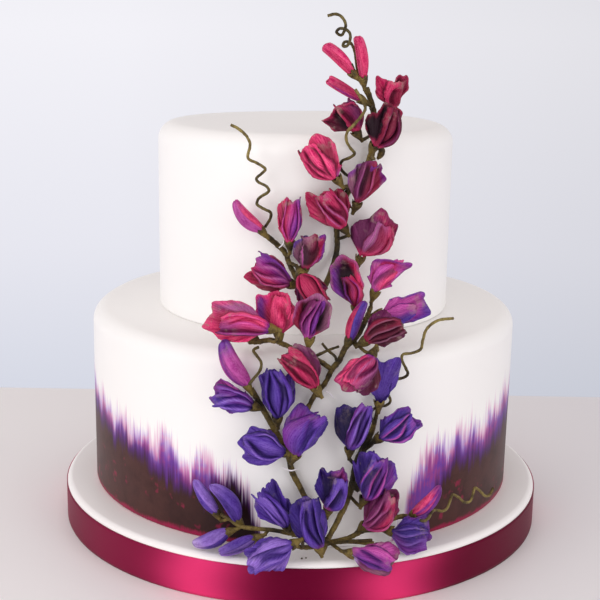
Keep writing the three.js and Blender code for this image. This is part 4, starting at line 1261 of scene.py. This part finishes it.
# %% Wire rows
WIRES = {
    "wires_upper": ([
        ([(32.5, 6.8, 278), (36, 5.5, 268.5), (38, 5, 257.5), (37, 5, 244), (33.5, 4.5, 234),
          (25.5, 3.8, 223), (19, 3.2, 212), (18, 3, 200.5), (18.5, 3, 188.5), (15, 4, 176.5), (7, 5.5, 160),
          (5.5, 6, 151.5)],
         [1.7, 2.2, 2.2, 1.8, 1.8, 1.8]),
        ([(-23.5, 7.5, 198), (-15.5, 4, 191), (-10.5, 3.5, 186), (-8.5, 3.5, 181), (-5, 4, 175),
          (-1.5, 5, 169), (5.5, 6, 153)],
         [1.8, 1.7, 1.6]),
    ], {
        "bud_01": [(32.5, 7, 277)], "bud_02": [(34.3, 6.3, 272)], "bud_03": [(36, 5.5, 267)],
        "bud_04": [(-20.5, 5.5, 194.5)], "bloom_01": [(38, 5, 261)], "bloom_02": [(38, 5, 253.5)],
        "bloom_03": [(38, 5, 239)], "bloom_04": [(22, 3.5, 218), (23.5, 8.5, 224.5)],
        "bloom_05": [(20.5, 3.5, 215.5), (26.5, 7.5, 212.5)], "bloom_06": [(18.5, 3, 194)],
        "bloom_07": [(18.5, 3, 184.5), (24, 5, 183)], "bloom_08": [(-9.5, 3.5, 183.5)],
        "bloom_09": [(-2, 5, 170)], "bloom_10": [(-3, 4.5, 172)],
        "bloom_13": [(-7.5, 3.5, 180), (-8, 10, 182)],
    }),
    "wires_middle": ([
        ([(37.5, 5, 159.5), (34.5, 5, 153.5), (30, 5, 146.5), (23.5, 5, 141.5), (20, 4.5, 135.5),
          (16, 4, 131), (12, 3.5, 122.5), (8, 3.5, 118), (5, 3, 112.5), (2.5, 3, 107)],
         [1.5, 1.9, 1.6, 1.6]),
        ([(16, 4, 131), (10, 5, 135), (4, 5.5, 137.5), (-2.5, 6, 140), (-9, 6, 142.5), (-17, 6, 144.5),
          (-24, 6, 143.5), (-29.5, 7, 143.5)],
         [1.6, 1.5, 1.8]),
    ], {
        "bloom_11": [(37.5, 5, 158)], "bloom_12": [(35, 5, 154)], "bloom_14": [(3, 5.5, 137.5)],
        "bloom_15": [(-8.5, 6, 142)], "bloom_16": [(-19, 6, 144.5), (-14, 16, 146.5)],
        "bud_05": [(22, 5, 139.5)], "bloom_17": [(34, 5, 153)], "bloom_18": [(27, 5, 144)],
        "bloom_19": [(28, 5, 144), (35, 7, 139), (40, 11.5, 140.5)], "bloom_20": [(8, 3.5, 116.5)],
    }),
    "wires_lower": ([
        ([(-27.5, 4, 119), (-21, 3, 107.5), (-14.5, 3, 96), (-7.5, 3, 83.5), (-4.5, 3, 72), (-0.5, 3, 64),
          (3.5, 4, 56), (7, 6, 48), (11.5, 8, 39.5), (14.5, 10, 33)],
         [1.8, 1.9, 1.9, 1.5, 1.5]),
        ([(41.5, 5, 109.5), (41, 4, 104), (39.5, 3, 97), (36.5, 3, 88.5), (31, 3, 77), (29, 3, 66),
          (26, 4, 55), (21.5, 6, 45.5), (14.5, 10, 33)],
         [1.2, 1.3, 2.4, 2.2, 1.9, 1.7]),
        ([(-44, 10, 46.5), (-39, 10, 44.5), (-33, 11, 41.5), (-12, 11, 40.5), (-2, 11, 38.5),
          (14.5, 10, 33)],
         [1.1, 1.4, 1.5]),
        ([(-3, 19, 36), (1.5, 16, 33.5), (9, 13, 32.5), (17, 11, 33.5), (26.5, 12, 34.5), (41, 14, 33)],
         [1.4, 1.5, 1.5]),
        ([(15, 10, 33.5), (26.5, 10, 35.5), (34.5, 9, 38.5), (44, 9, 42), (56, 10, 45), (60, 11, 45)],
         [1.5, 1.6, 1.5]),
    ], {
        "bud_06": [(-26, 4, 116.5)], "bloom_21": [(-20.5, 3, 106.5)], "bloom_22": [(-14, 3, 95)],
        "bloom_23": [(-6, 3, 78)], "bloom_24": [(-5.5, 3, 76)], "bloom_25": [(30.5, 3, 75)],
        "bloom_26": [(41, 4, 104)], "bloom_27": [(33.5, 4.5, 83.5), (39, 6, 88)], "bloom_28": [(7, 6, 48)],
        "bloom_29": [(27, 3.5, 58)], "bloom_30": [(30, 10, 37)], "bud_07": [(57, 10, 44.5)],
        "bloom_31": [(35, 9, 38.5)], "bloom_32": [(17, 11, 33.5)], "bloom_33": [(15, 11, 32.5)],
        "bloom_34": [(-8, 11, 40)], "bud_08": [(-39, 10, 44.5)], "bud_09": [(-31, 11, 41)],
        "bud_10": [(-32, 11, 41)], "bud_11": [(-17.5, 11, 40)], "bloom_35": [(2, 16, 33.5)],
    }),
}
TENDRILS = {
    "tendril_1": [(10.5, 8, 316), (14.5, 9, 317), (17.5, 10, 316), (20, 10, 312.5), (20, 9, 309.5),
        (18, 7, 306), (15.5, 7, 307.5), (17, 9, 309.5), (20.5, 12, 309), (22.5, 12, 307), (22.5, 12, 303),
        (21, 11, 300.5), (19, 9, 300.5), (20, 7.5, 302.5), (23, 6, 302), (25.5, 3, 298), (27, 2.5, 290),
        (28, 3, 284)],
    "tendril_2": [(-22, 4.5, 200.5), (-19, 6, 206), (-19, 8, 209.5), (-22.5, 10, 211.5), (-26.5, 9, 214),
        (-25.5, 8, 217), (-20, 9, 221.5), (-21, 10, 224), (-26, 10, 226.5), (-27, 9, 228),
        (-23.5, 9, 231.5), (-22, 11, 234), (-26.5, 12, 237), (-31.5, 12, 239.5), (-30.5, 11, 247),
        (-32.5, 12, 251.5), (-37, 14, 255.5), (-41, 16, 257.5)],
    "tendril_3": [(26, 15, 278), (29, 16, 273.5), (31.5, 18, 269), (30.5, 23, 266), (26, 28, 261),
        (22, 27, 256.5), (21.5, 24, 252), (24, 20, 247), (26.5, 16, 243.5), (24, 13, 241), (20, 11, 239),
        (19, 9, 235.5), (22, 9, 231.5), (25.5, 10, 229.5), (24.5, 11, 227.5)],
    "tendril_4": [(84, 18, 152.5), (75, 15, 152), (68.5, 13, 148.5), (66, 12, 143.5), (64.5, 12, 139.5),
        (59.5, 11, 138), (54.5, 10, 137.5), (54, 9, 135), (56, 8, 131), (57.5, 7, 126.5), (55, 6, 124.5),
        (50, 4.5, 123.5), (47, 3.5, 122), (45, 2, 118)],
    "tendril_5": [(-24, 4, 140.5), (-26.5, 6, 139.5), (-24.5, 8, 137.5), (-22, 10, 135), (-22.5, 12, 132),
        (-25.5, 17, 129), (-28, 19, 126)],
    "tendril_6": [(66, 21.5, 46.5), (68.5, 23, 46.3), (71, 21.5, 46.8), (73.2, 17, 47), (75, 13.5, 46.5),
        (77, 12, 45.5), (80.5, 13, 44.5), (83.5, 12, 45), (85.5, 11, 49), (87, 10, 51), (90.5, 11, 49),
        (94, 12, 45.5), (98, 12, 44.5), (100, 11, 47.5), (101, 11, 51), (103.5, 12, 49.5), (108, 13, 44.5),
        (111.5, 13, 44), (113.5, 13, 47)],
}

# %% Tape material
TURNS = 12.5  # of tape in one unit of uv


def paper_tape(name, light, dark, deep):
    """Paper tape: slanting bands where one turn laps the last, blotches, and fine fibres."""
    material, shader = new_material(name, Roughness=0.62, Specular_IOR_Level=0.3)
    mix, sums, rising = bound_to(material)
    place = object_place(material)
    uv = surface_uv(material)
    blotch = noise(material, place, 130.0, 4.0, 0.7)
    fibre = noise(material, place, 900.0, 3.0)
    turns = sums("MULTIPLY_ADD", part_of(material, uv, "Y"), TURNS, part_of(material, uv, "X"))
    lap = sums("FRACT", turns)
    seam = rising(lap, 0.82, 0.98)
    base = mix(rising(blotch, 0.38, 0.60), light, dark)
    base = mix(rising(blotch, 0.52, 0.66), base, deep)
    base = mix(sums("MULTIPLY", seam, 0.55), base, deep)
    base = mix(sums("MULTIPLY", fibre, 0.25), base, light)
    tint = attribute(material, "tint", "Color")
    base = mix(1.0, base, tint, "MULTIPLY")
    feed(material, shader, "Base Color", base)
    bump(material, shader, sums("ADD", fibre, sums("MULTIPLY", lap, 0.7)), 0.6, 0.0004)
    return material


# How light the tape is along each tendril, from its root to its tip.
TENDRIL_SHADES = {
    "tendril_1": (0.75, 0.5, 0.35, 0.3, 0.4, 0.5, 0.6),
    "tendril_2": (0.35, 0.45, 0.6, 0.8, 0.95, 1.0),
    "tendril_3": (1.0, 1.0, 0.85, 0.5, 0.25, 0.2),
    "tendril_4": (1.0, 0.95, 0.8, 0.6, 0.4, 0.3),
    "tendril_5": (0.45, 0.5, 0.45, 0.35),
    "tendril_6": (0.4, 0.7, 0.8, 0.9, 1.0, 1.0),
}
stem_tape = paper_tape("stem_tape", ink(128, 109, 54), ink(66, 51, 26), ink(26, 18, 11))
tendril_tape = paper_tape("tendril_tape", ink(150, 134, 76), ink(96, 80, 42), ink(50, 38, 22))

# %% Wires, stalks, calyces and tendrils
PLANTED = {name: row[0] for name, row in {**FLOWERS, **BUDS}.items()}
WIRE_THIN = 0.87
SEEDS_A_WIRE = 40
for number, (name, (runs, stalks)) in enumerate(WIRES.items()):
    parts = [taped_tube(hang(points), np.array(radii) * WIRE_THIN, SEED["run"] + number * SEEDS_A_WIRE + i)
             for i, (points, radii) in enumerate(runs)]
    for i, (flower, start) in enumerate(stalks.items()):
        axes = flower_axes(*PLANTED[flower][:6])
        base, _, _, growth = axes
        bend = np.vstack([hang(start), base - growth * 5, base - growth * 2])
        parts.append(taped_tube(bend, [0.9, 1.0, 1.2], SEED["stalk"] + number * SEEDS_A_WIRE + i))
        parts.append(calyx(axes, 6.5, 2.5 if flower.startswith("bud") else 3.0, i))
    piece("taped_" + name, *gather(parts), stem_tape, stands_for=[name], slot="stem_tape")
    print(name, "parts:", len(parts))


def thin_wire(points, radii, seed, shades):
    """A tube with small ridges, for a single wire with tape round it."""
    return taped_tube(hang(points), radii, seed, 10, 10, 0.05, 2.6, shades)


for number, (name, points) in enumerate(TENDRILS.items()):
    wire = thin_wire(points, [0.85, 0.8, 0.85], SEED["tendril"] + number, TENDRIL_SHADES[name])
    piece("taped_" + name, *wire, tendril_tape, stands_for=[name], slot="tendril_tape")

# %% [markdown]
# ## Loose ends
#
# A few wires curl out of the bundle and end in the open, small leaves of tape stick out where a turn ends,
# and the white ends of pins and ties show beside the stems. They are too thin for solids of their own. All
# of them are the same tube as the wires, with other radii.

# %% Curls, leaves and pins
CURLS = {
    "curl_a": [(10.5, 8, 144), (13.5, 8, 141), (17.5, 8, 138), (18.5, 7, 135.5)],
    "curl_b": [(19.5, 8, 142.5), (13.5, 9, 141), (7, 7, 138)],
    "curl_c": [(21, 4, 126), (25, 6, 125), (24.5, 7, 121)],
    "curl_d": [(46.5, 3, 120), (47, 4, 116), (48.5, 5, 111.5), (46.5, 5, 109.5), (43.5, 4.5, 109)],
    "curl_e": [(41.5, 4, 109), (38, 5, 106.5), (38, 5, 103.5), (40, 4, 99)],
    "curl_f": [(24, 8, 291), (26, 7, 286.5), (30, 7, 281)],
    "curl_g": [(25.5, 10, 226.5), (22.5, 8, 224), (20, 5, 221), (19, 4, 216.5)],
    "curl_h": [(17, 11, 33.5), (30, 15, 36), (40, 15, 35.5)],
}
LEAVES = {
    "leaf_a": ([(-33, 6, 122), (-29.5, 5, 120), (-27, 4, 119.5)], 1.7),
    "leaf_b": ([(-19, 5, 96), (-17, 4, 95.5), (-14.5, 3.5, 93)], 1.3),
    "leaf_c": ([(4.5, 6, 126), (6.5, 6, 128), (9, 5, 130.5)], 1.5),
    "leaf_d": ([(39, 9, 248), (42, 9, 243.5), (40, 6, 239)], 2.0),
    "leaf_e": ([(-7.5, 12, 54.5), (-5.5, 12, 51), (-5, 12, 46.5)], 2.0),
    "leaf_f": ([(27.5, 6, 67), (29.5, 7, 65.5), (32, 9, 62)], 2.0),
    "arm_end": ([(-34, 6, 144.5), (-31, 6, 145), (-27.5, 6, 145), (-24, 6, 144.2)], 3.0),
}
PINS = {
    "pin_a": [(-14, 9, 190), (-11.5, 9, 192.5), (-10.5, 8, 196.5)],
    "pin_b": [(13, 7, 120), (15.5, 6, 118), (17.5, 4.5, 115)],
    "pin_c": [(-10, 5, 75.5), (-5.5, 6, 74), (-1, 4, 74.5)],
    "pin_d": [(40.5, 12, 43), (42.5, 13, 39.5)],
    "pin_e": [(48.5, 5, 125.5), (49, 6, 121.5)],
    "pin_f": [(25, 14, 217), (26, 14, 214)],
}
LEAF_SHAPE = np.array([0.15, 0.7, 1.0, 0.9, 0.4])
for number, (name, points) in enumerate(CURLS.items()):
    curl = thin_wire(points, [0.7, 0.85], SEED["curl"] + number, (0.55,))
    piece(name, *curl, stem_tape, slot="stem_tape")
for number, (name, (points, width)) in enumerate(LEAVES.items()):
    shade = 0.2 if name == "leaf_e" else 1.0
    leaf = taped_tube(hang(points), LEAF_SHAPE * width, SEED["leaf"] + number, 12, 8, 0.04, 3.0, (shade,))
    piece(name, *leaf, stem_tape, slot="stem_tape")
pin_white, shader = new_material("pin_white", Roughness=0.35)
speck = noise(pin_white, object_place(pin_white), 600.0)
feed(pin_white, shader, "Base Color", colour_mix(pin_white, speck, ink(236, 228, 236), ink(250, 247, 250)))
for number, (name, points) in enumerate(PINS.items()):
    pin = taped_tube(hang(points), [0.35, 0.45, 0.3], SEED["pin"] + number, 8, 8, 0.0)
    piece(name, *pin, pin_white)
print("loose ends:", len(CURLS) + len(LEAVES) + len(PINS))

# %% Crumbs of brown colour on the board
CRUMBS = {
    "crumb_a": [(1.0, 13.6, 25.7), (1.9, 13.1, 25.7)],
    "crumb_b": [(3.5, 12.9, 25.7), (4.0, 12.4, 25.7)],
}
for number, (name, points) in enumerate(CRUMBS.items()):
    crumb = taped_tube(hang(points), [0.3, 0.5, 0.3], SEED["crumb"] + number, 8, 4, 0.0, 3.0, (0.4,))
    piece(name, *crumb, stem_tape)
